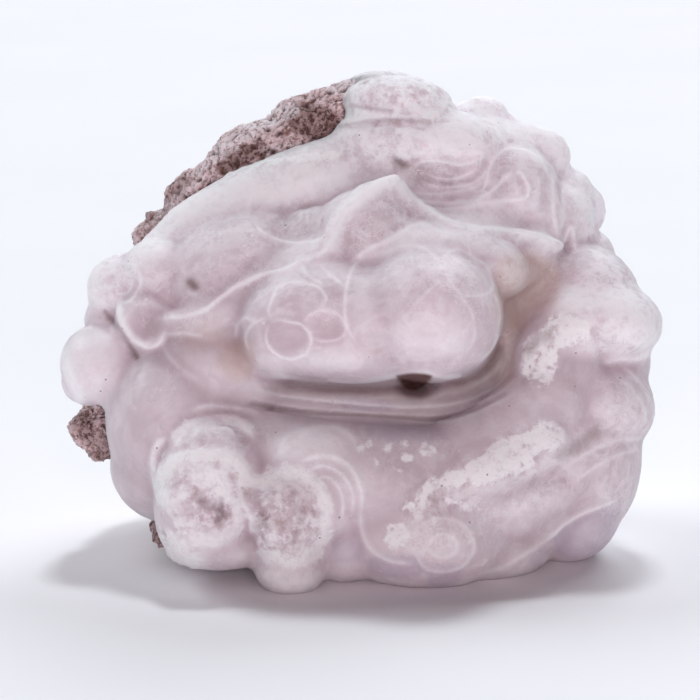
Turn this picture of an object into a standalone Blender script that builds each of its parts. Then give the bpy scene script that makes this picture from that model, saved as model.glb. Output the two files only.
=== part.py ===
"""A chalcedony druse: a pale lobed mass of chalcedony on the remains of its host rock, 60 mm across.

The forms are placed on a front drawing of the stone, in millimetres, as the eye sees them from a little
above: x runs to the right, h up the drawing and d back behind the drawing plane. `on_drawing` turns such a
place into one in the stone's own frame, +Z up. The finished pair stands on z = 0 over the origin.
"""

import math
from collections import namedtuple

import bmesh
import bpy
import numpy as np
from mathutils import Matrix, Vector, noise
from mathutils.bvhtree import BVHTree

MM = 0.001
LOOK_DOWN = math.radians(12.0)
EYE_DISTANCE = 400.0
EYE_X = -1.0
EYE_H = 25.0

BED_GAP = 0.45
FOOT_X = -7.0
FOOT_H = 0.75
FOOT_D = -14.5

BALLS_PER_RADIUS = 2.5
STONE_VOXEL = 0.55
ROCK_VOXEL = 0.6
BED_VOXEL = 1.0
STONE_TRIANGLES = 6900
ROCK_TRIANGLES = 2300
BED_TRIANGLES = 1400

BACK_LUMPS = 170
BACK_LUMP_SMALL = 2.0
BACK_LUMP_LARGE = 3.7
BACK_LUMP_SUNK = 0.55
BACK_MIDDLE = (3.0, 27.0, 3.0)
FAR_OUT = 60.0
GOLDEN_TURN = math.pi * (3.0 - math.sqrt(5.0))

ROCK_SKIM = 0.2
ROCK_LUMP = 2.4
ROCK_LUMP_SIZE = 5.0
ROCK_PIT = 1.6
ROCK_PIT_SIZE = 3.4

Lobe = namedtuple("Lobe", "x h d wide high deep lean", defaults=(0.0,))
Bead = namedtuple("Bead", "x h d r")
Stroke = namedtuple("Stroke", "wide high path")
Hollow = namedtuple("Hollow", "x h wide high depth lean", defaults=(0.0,))
Finish = namedtuple("Finish", "colour roughness")

FINISHES = {
    "chalcedony": Finish((0.60, 0.50, 0.54), 0.35),
    "host_rock": Finish((0.16, 0.09, 0.07), 0.9),
}

# Ellipsoids: centre, half sizes and lean in degrees, anticlockwise on the drawing.
LOBES = {
    "core": Lobe(0, 27, 5, 23, 18, 16),
    "upper_dome": Lobe(7, 37.5, 3, 14, 10.5, 13, -14),
    "back_dome": Lobe(4, 28, 8, 20, 19, 13),
    "top_slab": Lobe(3.8, 49.7, -2.0, 5.6, 2.7, 6.2, -3),
    "top_knob": Lobe(2.6, 50.6, 3, 4.6, 2.4, 5, -4),
    "upper_cheek": Lobe(6.0, 45.5, -3.0, 8.8, 4.2, 6.5, -5),
    "upper_back": Lobe(13.4, 44.9, 3, 6.4, 3.5, 8, -20),
    "alcove_back": Lobe(9, 40.5, -1, 8, 5, 6.5),
    "right_cheek": Lobe(15.4, 41.2, -2.0, 4.4, 4.4, 6.0),
    "right_edge_top": Lobe(17.4, 43.1, 3, 3.8, 3.2, 5, -34),
    "right_edge_high": Lobe(19.1, 41.0, 4, 3.2, 3.0, 5),
    "right_edge_mid": Lobe(20.0, 37.6, 1.5, 3.7, 4.4, 6.0),
    "right_edge_low": Lobe(20.0, 35.6, 4, 3.7, 2.8, 5),
    "hood_bubble": Lobe(0.8, 36.4, -8.5, 5.4, 4.8, 6.3),
    "hood_right": Lobe(10, 34.0, -7.2, 8.0, 3.6, 6.4, -10),
    "front_dome": Lobe(6.9, 28.6, -12.5, 7.3, 6.7, 9),
    "dome_side": Lobe(10.0, 29.5, -11.0, 4.2, 5.4, 7.0, 8),
    "nose": Lobe(-4.0, 28.2, -11.5, 8.0, 5.6, 7.4, 12),
    "nose_bridge": Lobe(1.4, 27.8, -11.6, 7.0, 5.8, 7.9),
    "nose_left": Lobe(-7.2, 26.4, -11.0, 4.6, 4.2, 6.6, 10),
    "nose_low": Lobe(-1.5, 25.2, -12.4, 9.0, 3.3, 6.4, -3),
    "left_panel": Lobe(-12.5, 33.2, -3.5, 9.5, 5.5, 8.6, 24),
    "panel_low": Lobe(-13.5, 28.8, -4.5, 7.5, 4.0, 8.3, 22),
    "left_brow": Lobe(-20.0, 32.5, -4.5, 4, 3.8, 5.5),
    "left_knob": Lobe(-23.6, 31.2, -2, 3.8, 3.6, 4.6, 20),
    "left_knob_back": Lobe(-24.0, 28.0, 0, 3.6, 3.2, 5),
    "pit_wall": Lobe(-21.2, 27.9, -6.5, 3.3, 3.2, 4.8),
    "left_bulb": Lobe(-25.9, 23.6, -4, 4.1, 4.0, 5.5, -20),
    "left_bulb_low": Lobe(-27.0, 21.8, -2.5, 2.9, 2.4, 4.2),
    "left_roll": Lobe(-18.5, 17.3, -4.5, 6.8, 8.6, 10.0, 12),
    "left_saddle": Lobe(-14.0, 23.0, -5.5, 7.5, 5.0, 7.2, -12),
    "left_low": Lobe(-19.8, 12.6, -3.0, 5.4, 4.6, 8.0, -35),
    "lower_body": Lobe(-1, 11.5, -7, 15, 6.8, 11),
    "rosette_block": Lobe(-15.3, 9.0, -11, 5.2, 5.8, 8.0),
    "rosette_shell": Lobe(-14.8, 12.4, -12.3, 5.4, 5.4, 6.4, -10),
    "rosette_left": Lobe(-15.6, 9.9, -14.0, 4.4, 4.4, 6),
    "rosette_right": Lobe(-7.2, 8.3, -14.6, 3.8, 4.4, 6),
    "rosette_bridge": Lobe(-11.3, 9.6, -13.6, 3.0, 2.6, 5),
    "rosette_under": Lobe(-14, 5.0, -11, 5.2, 2.0, 5),
    "foot": Lobe(-7.0, 3.2, -13, 3.5, 2.9, 4.4),
    "light_dome": Lobe(-4.6, 14.2, -14.0, 5.2, 3.2, 3.8, -8),
    "arc_boss": Lobe(-3.0, 10.2, -13.8, 4.2, 4.6, 4.4),
    "low_boss": Lobe(6.0, 6.6, -10.4, 8.8, 5.5, 7.4, -4),
    "low_ring": Lobe(8.0, 6.2, -11.6, 5.6, 4.2, 6.2),
    "low_right": Lobe(13, 4.8, -6.0, 6.4, 3.2, 6.4, 8),
    "low_fill": Lobe(17, 8.4, -4.6, 6.0, 4.4, 7.0, 20),
    "low_window": Lobe(21.2, 8.2, -2.0, 5.0, 4.3, 7.5, 30),
    "right_mass": Lobe(18.8, 14.6, -2.0, 9.4, 10.4, 9.6, 4),
    "right_mid": Lobe(23.6, 19.3, -2.2, 5.9, 5.2, 8.2),
    "right_neck": Lobe(19.5, 21.5, -3.0, 6.0, 6.0, 8),
    "shoulder": Lobe(24.4, 27.9, -2.5, 5.9, 4.2, 8.8, -8),
    "shoulder_under": Lobe(25.4, 23.6, -1.0, 3.7, 3.2, 6.0),
    "recess_wall": Lobe(17.6, 30.0, -1.5, 5.0, 6.5, 6.0),
    "shoulder_inner": Lobe(21.2, 27.2, -5.0, 4.8, 4.5, 6.6, 20),
    "shoulder_end": Lobe(18.4, 24.6, -7.4, 2.9, 5.2, 4.2, -22),
    "shoulder_top": Lobe(23.2, 30.8, 0, 5.2, 4.4, 8.4, -42),
    "back_upper": Lobe(8, 40, 12, 9, 7, 9, -10),
    "back_right": Lobe(17, 27, 14, 8, 8, 8),
    "back_middle": Lobe(6, 27, 18, 7.5, 7, 6.5),
    "back_low": Lobe(4, 15, 11, 17, 8.5, 10),
    "back_low_right": Lobe(15, 14, 14, 7.5, 6.5, 8),
    "back_foot_left": Lobe(-7, 9.5, 9, 6, 4.5, 6),
    "back_foot_right": Lobe(12, 8.6, 9, 7, 4.5, 6),
}

# Rolls: round-ended tubes through beads that change in radius.
ROLLS = {
    "top_edge": (Bead(9.4, 47.5, 3.0, 2.3), Bead(13.5, 46.6, 3.0, 2.4), Bead(17.0, 45.2, 3.0, 2.3)),
    "upper_roll": (Bead(-20.0, 34.2, -2.5, 2.6), Bead(-16.5, 37.0, -3.0, 3.2), Bead(-11.0, 39.8, -4.0, 3.6),
                   Bead(-5.0, 41.9, -4.0, 3.8), Bead(1.0, 44.0, -3.0, 3.6)),
    "hood_ridge_left": (Bead(-19.7, 28.2, -11.2, 0.7), Bead(-17.0, 28.8, -12.0, 0.8),
                        Bead(-14.0, 30.2, -12.3, 0.9), Bead(-11.0, 32.0, -12.8, 1.0),
                        Bead(-6.5, 33.4, -14.0, 1.1), Bead(-3.4, 35.2, -14.3, 1.2),
                        Bead(-1.8, 38.0, -13.6, 1.3), Bead(0.6, 40.5, -12.6, 1.3)),
    "hood_ridge_peak": (Bead(0.6, 40.5, -12.6, 1.3), Bead(3.4, 41.5, -11.5, 1.0),
                        Bead(5.2, 40.0, -12.0, 0.9), Bead(8.0, 38.0, -12.6, 0.9),
                        Bead(12.0, 36.9, -12.4, 0.9), Bead(16.5, 36.5, -10.6, 0.8),
                        Bead(20.0, 35.4, -8.0, 0.9)),
    "hood_body": (Bead(-13.0, 29.6, -9.0, 3.0), Bead(-6.0, 32.4, -10.0, 3.6), Bead(1.0, 37.0, -8.6, 4.0),
                  Bead(9.0, 35.6, -9.0, 3.2), Bead(16.5, 34.8, -6.0, 3.0)),
    "lower_lip": (Bead(-15.0, 15.5, -9.0, 4.0), Bead(-8.0, 14.4, -11.5, 4.2),
                  Bead(0.0, 13.2, -12.5, 4.3), Bead(8.0, 13.0, -12.0, 4.3),
                  Bead(14.0, 15.4, -10.5, 4.6), Bead(18.5, 19.5, -8.0, 4.4)),
    "finger_high": (Bead(6.0, 9.8, -14.4, 2.4), Bead(11.5, 12.6, -14.0, 3.2),
                    Bead(17.6, 15.8, -11.0, 3.4)),
    "finger_low": (Bead(9.5, 7.6, -13.0, 2.6), Bead(15.5, 9.2, -11.0, 3.0),
                   Bead(21.0, 11.8, -8.0, 2.8)),
    "column": (Bead(19.2, 35.4, -5.4, 1.2), Bead(18.8, 39.0, -5.1, 1.4),
               Bead(18.0, 42.0, -3.6, 1.5)),
    "spike": (Bead(20.9, 30.0, -5.2, 1.0), Bead(21.0, 33.0, -4.3, 1.2),
              Bead(21.2, 36.4, -2.5, 1.0)),
}

# Hollows pressed into the skin: centre, half sizes, depth and lean on the drawing.
HOLLOWS = {
    "alcove": Hollow(8.6, 41.4, 4.6, 2.7, 1.7),
    "festoon_bowl": Hollow(-6.4, 37.2, 3.4, 1.7, 1.3, 6),
    "pit": Hollow(-21.6, 27.8, 2.3, 2.3, 2.0),
    "right_recess": Hollow(17.0, 31.0, 3.2, 4.6, 1.3, -10),
    "slot_hole": Hollow(5.7, 21.4, 2.4, 1.2, 4.0),
    "left_dimple": Hollow(-16.9, 31.4, 0.7, 0.7, 0.5),
    "rosette_pit": Hollow(-14.8, 8.8, 1.6, 1.5, 1.0),
    "rosette_face": Hollow(-7.0, 8.0, 2.7, 2.9, 0.8),
}

# Ridges and creases drawn on the skin: half width, height (down where negative) and path.
STROKES = {
    "slab_under": Stroke(0.7, -0.8, ((-2.4, 47.4), (-0.5, 47.3), (1.5, 47.8), (4.0, 47.8), (6.5, 47.9),
                                     (8.2, 48.6), (9.2, 49.6))),
    "roll_under": Stroke(0.9, -0.9, ((-12.0, 37.8), (-9.0, 38.3), (-5.5, 38.7), (-2.5, 39.8), (0.5, 41.6))),
    "festoon": Stroke(0.5, 0.7, ((-14.2, 38.2), (-11.6, 38.4), (-10.2, 38.0), (-9.5, 36.8), (-8.5, 36.0),
                                 (-7.0, 35.6), (-5.0, 35.7), (-3.4, 36.4))),
    "bubble_edge": Stroke(0.5, 0.6, ((-1.5, 33.8), (-0.5, 34.8), (1.0, 35.6), (2.5, 36.2), (4.0, 36.4),
                                     (5.2, 37.2), (6.4, 37.6))),
    "alcove_brow": Stroke(0.6, 0.7, ((4.4, 43.8), (7.0, 44.2), (10.0, 43.8), (12.2, 44.0))),
    "cheek_edge": Stroke(0.5, 0.6, ((12.0, 40.5), (13.0, 43.2), (13.7, 44.9), (14.8, 45.4), (16.5, 44.6),
                                    (18.2, 43.2))),
    "dome_edge_left": Stroke(0.5, 0.4, ((-1.3, 33.0), (-1.4, 30.5), (-1.2, 28.0), (-0.3, 25.6), (1.2, 23.6))),
    "pit_rim": Stroke(0.6, 0.8, ((-23.9, 29.8), (-24.0, 27.6), (-23.2, 26.0), (-21.6, 25.2), (-20.0, 26.0),
                                 (-19.4, 27.2))),
    "lip_edge": Stroke(0.7, 0.5, ((-11.2, 24.6), (-10.0, 22.9), (-7.0, 22.4), (-3.0, 22.2), (0.0, 21.9),
                                  (4.0, 22.4), (8.0, 22.6), (11.5, 23.0), (13.2, 25.0))),
    "groove_edge": Stroke(0.6, 0.6, ((-17.0, 19.3), (-14.0, 19.4), (-11.0, 18.9), (-6.0, 18.1), (0.0, 17.9),
                                     (6.0, 17.3), (9.5, 17.2), (12.5, 18.5), (15.0, 21.0), (16.0, 23.5))),
    "shell_arc": Stroke(0.6, 0.7, ((-19.9, 8.0), (-20.4, 12.0), (-19.8, 15.6), (-18.0, 17.5), (-15.0, 18.0),
                                   (-11.8, 17.6), (-9.8, 16.2))),
    "rosette_ring": Stroke(0.8, 0.8, ((-19.6, 10.5), (-18.8, 13.2), (-16.2, 14.5), (-13.2, 14.2), (-11.2, 12.2),
                                      (-10.6, 9.6), (-12.0, 6.6), (-15.0, 5.4), (-18.2, 6.6), (-19.6, 10.5))),
    "rosette_ring_small": Stroke(0.7, 0.7, ((-10.8, 8.0), (-10.2, 11.2), (-7.4, 12.9), (-4.6, 11.6),
                                            (-3.4, 8.4), (-4.2, 5.0), (-7.2, 3.7), (-10.0, 4.8),
                                            (-10.8, 8.0))),
    "arc_outer": Stroke(0.4, 0.4, ((-6.4, 13.6), (-3.8, 14.6), (-1.4, 13.4), (-0.2, 11.2), (-0.2, 8.6))),
    "low_boss_ring": Stroke(0.5, 0.4, ((0.0, 7.0), (-0.2, 5.6), (1.2, 4.4), (3.6, 3.6), (6.4, 3.7),
                                       (9.6, 4.8))),
    "shoulder_crease": Stroke(0.8, -0.8, ((22.0, 23.2), (25.0, 24.0), (28.0, 24.1), (29.6, 25.0))),
    "window_edge": Stroke(0.5, 0.6, ((18.8, 5.2), (19.6, 7.0), (21.8, 8.1), (24.0, 8.7), (26.4, 10.4))),
}

# The host rock, one rind over the left back of the stone: its body and the rolls of its edges.
ROCK_BODY = Lobe(-10, 31.5, 11.5, 9.0, 16.5, 8.5, -32)
ROCK_ROLLS = {
    "rind_top": (Bead(-0.5, 48.6, 1.5, 3.8), Bead(-6.0, 46.3, 0.5, 4.3), Bead(-11.5, 43.3, 1.0, 4.2),
                 Bead(-17.0, 39.3, 2.5, 3.3), Bead(-20.2, 36.5, 5.0, 2.9)),
    "rind_upper": (Bead(-1.0, 45.0, 7.0, 4.8), Bead(-9.0, 41.0, 9.5, 5.6), Bead(-15.0, 34.5, 10.0, 5.8),
                   Bead(-19.5, 28.5, 8.0, 5.2)),
    "rind_middle": (Bead(1.0, 38.0, 15.5, 5.5), Bead(-7.0, 33.0, 17.0, 6.2), Bead(-15.0, 26.0, 14.0, 6.4),
                    Bead(-20.5, 19.0, 9.0, 5.2)),
    "rind_low": (Bead(-2.0, 26.0, 19.0, 5.6), Bead(-9.0, 20.0, 17.5, 6.0), Bead(-16.0, 14.0, 11.0, 5.4)),
    "rind_side": (Bead(-20.0, 18.0, 8.0, 5.6), Bead(-24.6, 17.8, 3.5, 3.6), Bead(-27.2, 17.4, 0.5, 2.5),
                  Bead(-26.0, 15.4, 0.0, 1.9)),
    "rind_foot": (Bead(-19.0, 17.0, 7.0, 5.2), Bead(-18.4, 10.5, 2.0, 3.6), Bead(-19.6, 7.2, -3.0, 1.9),
                  Bead(-19.6, 6.2, -5.0, 1.5)),
}


def on_drawing(x, h, d):
    """The place in the stone's frame, in metres, of a point seen at x, h on the drawing and d behind it."""
    spread = 1.0 + d / EYE_DISTANCE
    across = EYE_X + (x - EYE_X) * spread
    up = EYE_H + (h - EYE_H) * spread
    return Vector((
        across,
        up * math.sin(LOOK_DOWN) + d * math.cos(LOOK_DOWN),
        up * math.cos(LOOK_DOWN) - d * math.sin(LOOK_DOWN),
    )) * MM


def unit_ball(detail):
    """A mesh of one ball of radius 1, made once for each number of subdivisions."""
    name = f"ball_{detail}"
    if name not in bpy.data.meshes:
        bm = bmesh.new()
        bmesh.ops.create_icosphere(bm, subdivisions=detail, radius=1.0)
        bm.to_mesh(bpy.data.meshes.new(name))
        bm.free()
    return bpy.data.meshes[name]


def add_ball(bm, centre, half_sizes, lean=0.0, detail=4):
    """Adds an ellipsoid whose axes follow the drawing, turned by lean degrees on it."""
    turn = Matrix.Rotation(-LOOK_DOWN, 4, "X") @ Matrix.Rotation(-math.radians(lean), 4, "Y")
    wide, high, deep = (size * MM for size in half_sizes)
    ball = unit_ball(detail).copy()
    ball.transform(Matrix.Translation(centre) @ turn @ Matrix.Diagonal((wide, deep, high, 1.0)))
    bm.from_mesh(ball)
    bpy.data.meshes.remove(ball)


def add_roll(bm, beads):
    """Adds a round-ended tube as overlapping balls from bead to bead."""
    for first, second in zip(beads, beads[1:]):
        gap = math.dist(first[:3], second[:3])
        steps = max(1, math.ceil(BALLS_PER_RADIUS * gap / min(first.r, second.r)))
        for step in range(steps + 1):
            x, h, d, r = (a + (b - a) * step / steps for a, b in zip(first, second))
            add_ball(bm, on_drawing(x, h, d), (r, r, r), detail=3)


def mesh_object(name, bm):
    """A linked object that holds the bmesh, which is freed."""
    mesh = bpy.data.meshes.new(name)
    bm.to_mesh(mesh)
    bm.free()
    obj = bpy.data.objects.new(name, mesh)
    bpy.context.scene.collection.objects.link(obj)
    return obj


def settle(obj):
    """Replaces the object's mesh by its evaluated one and drops its modifiers."""
    graph = bpy.context.evaluated_depsgraph_get()
    made = bpy.data.meshes.new_from_object(obj.evaluated_get(graph))
    obj.modifiers.clear()
    obj.data = made


def grow_together(obj, voxel, smoothing):
    """Fuses overlapping balls into one skin, softened by a few smoothing passes."""
    skin = obj.modifiers.new("skin", "REMESH")
    skin.mode = "VOXEL"
    skin.voxel_size = voxel * MM
    soften = obj.modifiers.new("soften", "SMOOTH")
    soften.factor = 0.5
    soften.iterations = smoothing
    settle(obj)


def rows_of(what, attribute):
    """The x, y and z of each vertex's place or normal, one row each."""
    values = np.empty(len(what) * 3, np.float32)
    what.foreach_get(attribute, values)
    return values.reshape(-1, 3).astype(np.float64)


def seen_from_eye(places):
    """Where places of the stone's frame lie on the drawing, as rows of x, h and d in millimetres."""
    across, back, up = (places / MM).T
    d = back * math.cos(LOOK_DOWN) - up * math.sin(LOOK_DOWN)
    rise = back * math.sin(LOOK_DOWN) + up * math.cos(LOOK_DOWN)
    spread = 1.0 + d / EYE_DISTANCE
    return np.column_stack((EYE_X + (across - EYE_X) / spread, EYE_H + (rise - EYE_H) / spread, d))


def smooth_path(points, spacing=0.25):
    """Points along a Catmull-Rom curve through the given ones, about spacing apart."""
    p = [np.array(point, float) for point in points]
    p = [2 * p[0] - p[1], *p, 2 * p[-1] - p[-2]]
    made = []
    for before, start, end, after in zip(p, p[1:], p[2:], p[3:]):
        for t in np.arange(0.0, 1.0, spacing / max(np.linalg.norm(end - start), spacing)):
            made.append(0.5 * (2 * start + (end - before) * t
                               + (2 * before - 5 * start + 4 * end - after) * t ** 2
                               + (3 * start - before - 3 * end + after) * t ** 3))
    return np.array([*made, p[-2]])


def depth_seen(tree, x, h):
    """How far behind the drawing the skin lies at x, h, or None past the outline."""
    near, far = on_drawing(x, h, -FAR_OUT), on_drawing(x, h, FAR_OUT)
    hit = tree.ray_cast(near, (far - near).normalized())[0]
    return None if hit is None else seen_from_eye(np.array([hit]))[0, 2]


def stroke_swell(seen, tree, stroke):
    """How far each point of the skin rises for one stroke, in millimetres."""
    path = smooth_path(stroke.path)
    swell = np.zeros(len(seen))
    reach = 3.0 * stroke.wide
    for index, (x, h) in enumerate(path):
        d = depth_seen(tree, x, h)
        if d is None:
            continue
        along = index / (len(path) - 1)
        fade = min(1.0, 6.0 * min(along, 1.0 - along) + 0.25)
        close = np.flatnonzero((abs(seen[:, 0] - x) < reach) & (abs(seen[:, 1] - h) < reach))
        gap = np.linalg.norm(seen[close] - (x, h, d), axis=1)
        rise = fade * np.exp(-(gap / stroke.wide) ** 1.5)
        swell[close] = np.maximum(swell[close], rise)
    return swell * stroke.high


def hollow_sink(seen, tree, hollow):
    """How far each point of the skin sinks for one hollow, in millimetres."""
    lean = math.radians(hollow.lean)
    across, up = seen[:, 0] - hollow.x, seen[:, 1] - hollow.h
    u = (across * math.cos(lean) + up * math.sin(lean)) / hollow.wide
    v = (up * math.cos(lean) - across * math.sin(lean)) / hollow.high
    d = depth_seen(tree, hollow.x, hollow.h)
    near = np.clip(1.5 - abs(seen[:, 2] - d) / 5.0, 0.0, 1.0)
    return hollow.depth * near * np.clip(1.0 - u ** 2 - v ** 2, 0.0, 1.0) ** 1.2


def carve(obj):
    """Presses the hollows and draws the ridges and creases into the skin, from the eye's side."""
    mesh = obj.data
    for kind in (HOLLOWS, STROKES):
        tree = BVHTree.FromObject(obj, bpy.context.evaluated_depsgraph_get())
        places = rows_of(mesh.vertices, "co")
        normals = rows_of(mesh.vertex_normals, "vector")
        seen = seen_from_eye(places)
        away = (on_drawing(0, 30, 1) - on_drawing(0, 30, 0)) / MM
        if kind is HOLLOWS:
            for hollow in kind.values():
                places += np.outer(hollow_sink(seen, tree, hollow), away) * MM
        else:
            swell = sum(stroke_swell(seen, tree, stroke) for stroke in kind.values())
            places += normals * swell[:, None] * MM
        mesh.vertices.foreach_set("co", places.astype(np.float32).ravel())
        mesh.update()


def clear_scene():
    """Removes every object of the scene."""
    for obj in list(bpy.data.objects):
        bpy.data.objects.remove(obj)


def thin_out(obj, triangles):
    """Simplifies the object's skin to about this many triangles."""
    obj.data.calc_loop_triangles()
    fewer = obj.modifiers.new("fewer", "DECIMATE")
    fewer.ratio = triangles / len(obj.data.loop_triangles)
    settle(obj)


def keep_largest(obj):
    """Drops every shell but the one with the most vertices."""
    bm = bmesh.new()
    bm.from_mesh(obj.data)
    left = set(bm.verts)
    shells = []
    while left:
        shell = {left.pop()}
        edge = list(shell)
        while edge:
            for link in edge.pop().link_edges:
                for vert in link.verts:
                    if vert in left:
                        left.remove(vert)
                        shell.add(vert)
                        edge.append(vert)
        shells.append(shell)
    shells.sort(key=len)
    for shell in shells[:-1]:
        bmesh.ops.delete(bm, geom=list(shell), context="VERTS")
    bm.to_mesh(obj.data)
    bm.free()


def weather(rock):
    """Wears the rock's skin inwards in lumps and rounded pits."""
    mesh = rock.data
    places = rows_of(mesh.vertices, "co")
    normals = rows_of(mesh.vertex_normals, "vector")
    sink = np.empty(len(places))
    for index, place in enumerate(places / MM):
        lump = noise.noise(place / ROCK_LUMP_SIZE)
        pit = noise.voronoi(place / ROCK_PIT_SIZE)[0][0]
        sink[index] = ROCK_SKIM + ROCK_LUMP * max(0.0, lump) + ROCK_PIT * max(0.0, 1.0 - 2.2 * pit)
    places -= normals * sink[:, None] * MM
    mesh.vertices.foreach_set("co", places.astype(np.float32).ravel())
    mesh.update()


def rock_skin(name, swell, voxel):
    """The host rock's body and rolls as one skin, each fatter by swell millimetres."""
    bm = bmesh.new()
    body = ROCK_BODY
    sizes = [size + swell for size in (body.wide, body.high, body.deep)]
    add_ball(bm, on_drawing(body.x, body.h, body.d), sizes, body.lean)
    for beads in ROCK_ROLLS.values():
        add_roll(bm, [bead._replace(r=bead.r + swell) for bead in beads])
    rock = mesh_object(name, bm)
    grow_together(rock, voxel, 3)
    keep_largest(rock)
    return rock


def back_lumps(stone, rock):
    """Places and radii, in metres, of small lumps over the stone's back where no rock covers it."""
    graph = bpy.context.evaluated_depsgraph_get()
    skin = BVHTree.FromObject(stone, graph)
    rind = BVHTree.FromObject(rock, graph)
    middle = on_drawing(*BACK_MIDDLE)
    for index in range(BACK_LUMPS):
        up = 1.0 - 2.0 * (index + 0.5) / BACK_LUMPS
        flat = math.sqrt(1.0 - up * up)
        turn = GOLDEN_TURN * index
        way = Vector((flat * math.cos(turn), flat * math.sin(turn), up))
        size = 0.5 + 0.5 * math.sin(2.4 * index)
        radius = (BACK_LUMP_SMALL + (BACK_LUMP_LARGE - BACK_LUMP_SMALL) * size) * MM
        hit = skin.ray_cast(middle + way * FAR_OUT * MM, -way)[0]
        if hit is None or hit.y < on_drawing(0, 20, 5).y:
            continue
        centre = hit - way * radius * BACK_LUMP_SUNK
        if rind.find_nearest(centre)[3] > radius + 2 * BED_GAP * MM:
            yield centre, radius


def build_stone(rock):
    """The chalcedony's lobes and rolls as one skin, carved and thinned out."""
    bm = bmesh.new()
    for lobe in LOBES.values():
        detail = 5 if lobe.wide > 10 else 4
        add_ball(bm, on_drawing(lobe.x, lobe.h, lobe.d), (lobe.wide, lobe.high, lobe.deep), lobe.lean, detail)
    for beads in ROLLS.values():
        add_roll(bm, beads)
    stone = mesh_object("chalcedony", bm)
    bm = bmesh.new()
    bm.from_mesh(stone.data)
    for centre, radius in back_lumps(stone, rock):
        add_ball(bm, centre, [radius / MM] * 3, detail=3)
    bm.to_mesh(stone.data)
    bm.free()
    grow_together(stone, STONE_VOXEL, 3)
    carve(stone)
    thin_out(stone, STONE_TRIANGLES)
    return stone


def build_rock():
    """The rind of host rock, weathered and thinned out."""
    rock = rock_skin("host_rock", 0.0, ROCK_VOXEL)
    weather(rock)
    thin_out(rock, ROCK_TRIANGLES)
    return rock


def cut_bed(stone):
    """Cuts the rock's bed out of the stone, wider than the rock by the gap between them."""
    bed = rock_skin("bed", BED_GAP, BED_VOXEL)
    thin_out(bed, BED_TRIANGLES)
    cut = stone.modifiers.new("bed", "BOOLEAN")
    cut.operation = "DIFFERENCE"
    cut.solver = "EXACT"
    cut.object = bed
    settle(stone)
    bpy.data.objects.remove(bed)
    keep_largest(stone)


def slice_foot(obj, floor):
    """Cuts the object off flat at the height that it stands on."""
    bm = bmesh.new()
    bm.from_mesh(obj.data)
    geometry = [*bm.verts, *bm.edges, *bm.faces]
    cut = bmesh.ops.bisect_plane(bm, geom=geometry, plane_co=(0, 0, floor), plane_no=(0, 0, 1), clear_inner=True)
    rim = [item for item in cut["geom_cut"] if isinstance(item, bmesh.types.BMEdge)]
    bmesh.ops.contextual_create(bm, geom=rim)
    bmesh.ops.holes_fill(bm, edges=[edge for edge in bm.edges if edge.is_boundary])
    bmesh.ops.triangulate(bm, faces=bm.faces)
    bm.to_mesh(obj.data)
    bm.free()


def stand_up(pieces):
    """Moves the pieces so that they stand on z = 0 over the origin."""
    corners = np.vstack([rows_of(obj.data.vertices, "co") for obj in pieces])
    low, high = corners.min(axis=0), corners.max(axis=0)
    shift = Vector((-(low[0] + high[0]) / 2, -(low[1] + high[1]) / 2, -low[2]))
    for obj in pieces:
        obj.data.transform(Matrix.Translation(shift))


def dress(obj, finish):
    """Gives the object its material and smooth shading."""
    material = bpy.data.materials.new(obj.name)
    material.use_nodes = True
    shader = material.node_tree.nodes["Principled BSDF"]
    shader.inputs["Base Color"].default_value = (*finish.colour, 1.0)
    shader.inputs["Roughness"].default_value = finish.roughness
    shader.inputs["Metallic"].default_value = 0.0
    obj.data.materials.append(material)
    obj.data.shade_smooth()
    obj.data.set_sharp_from_angle(angle=math.radians(50.0))


def main():
    """Builds the chalcedony and its rind of host rock."""
    clear_scene()
    rock = build_rock()
    stone = build_stone(rock)
    cut_bed(stone)
    slice_foot(stone, on_drawing(FOOT_X, FOOT_H, FOOT_D).z)
    stand_up((stone, rock))
    for obj in (stone, rock):
        dress(obj, FINISHES[obj.name])


main()
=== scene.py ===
"""A chalcedony druse for its portrait: the lobed stone, its rind of host rock and a pale studio.

The stone's forms are laid out on a drawing of its front, as the eye sees it from a little above. A form's
place there is x to the right, h up and d back, in millimetres. Lines and washes of colour are laid out on
the drawing's grid, 700 steps of 0.1 mm each way, counted from the upper left corner.
"""

from __future__ import annotations

import logging
import math
from dataclasses import dataclass, field
from enum import Enum
from typing import Iterable, Sequence

import bmesh
import bpy
import numpy as np
from mathutils import Matrix, Vector, noise
from mathutils.bvhtree import BVHTree


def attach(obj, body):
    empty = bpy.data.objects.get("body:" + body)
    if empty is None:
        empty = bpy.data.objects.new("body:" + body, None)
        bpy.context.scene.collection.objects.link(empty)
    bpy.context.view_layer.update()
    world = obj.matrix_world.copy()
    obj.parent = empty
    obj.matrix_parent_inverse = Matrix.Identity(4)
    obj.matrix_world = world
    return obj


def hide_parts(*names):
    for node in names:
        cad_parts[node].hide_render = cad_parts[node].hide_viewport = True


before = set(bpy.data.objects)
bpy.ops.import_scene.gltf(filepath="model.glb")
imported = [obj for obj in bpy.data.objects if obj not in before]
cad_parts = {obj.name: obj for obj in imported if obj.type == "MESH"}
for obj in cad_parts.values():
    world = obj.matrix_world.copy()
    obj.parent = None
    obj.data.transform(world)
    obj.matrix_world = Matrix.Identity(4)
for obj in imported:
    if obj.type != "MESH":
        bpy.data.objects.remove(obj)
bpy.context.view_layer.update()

LOG = logging.getLogger("druse")
MM = 0.001
NOISE_SEED = 7
Colour = tuple[float, float, float]
Path = tuple[tuple[float, float], ...]
Socket = bpy.types.NodeSocket
Feed = Socket | float | None


class Channel(Enum):
    """What a mark lays on the skin, and the name of the attribute that holds it."""

    CREST = "crest"
    CHALK = "chalk"
    CLEAR = "clear"
    LILAC = "lilac"
    # A brownish tint, also painted shade in recesses.
    TAN = "tan"
    # Real stains and specks, and painted shade in the groove, its hole and creases.
    STAIN_AND_SHADE = "stain_and_shade"
    FROST = "frost"
    CRUMB = "crumb"


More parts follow.
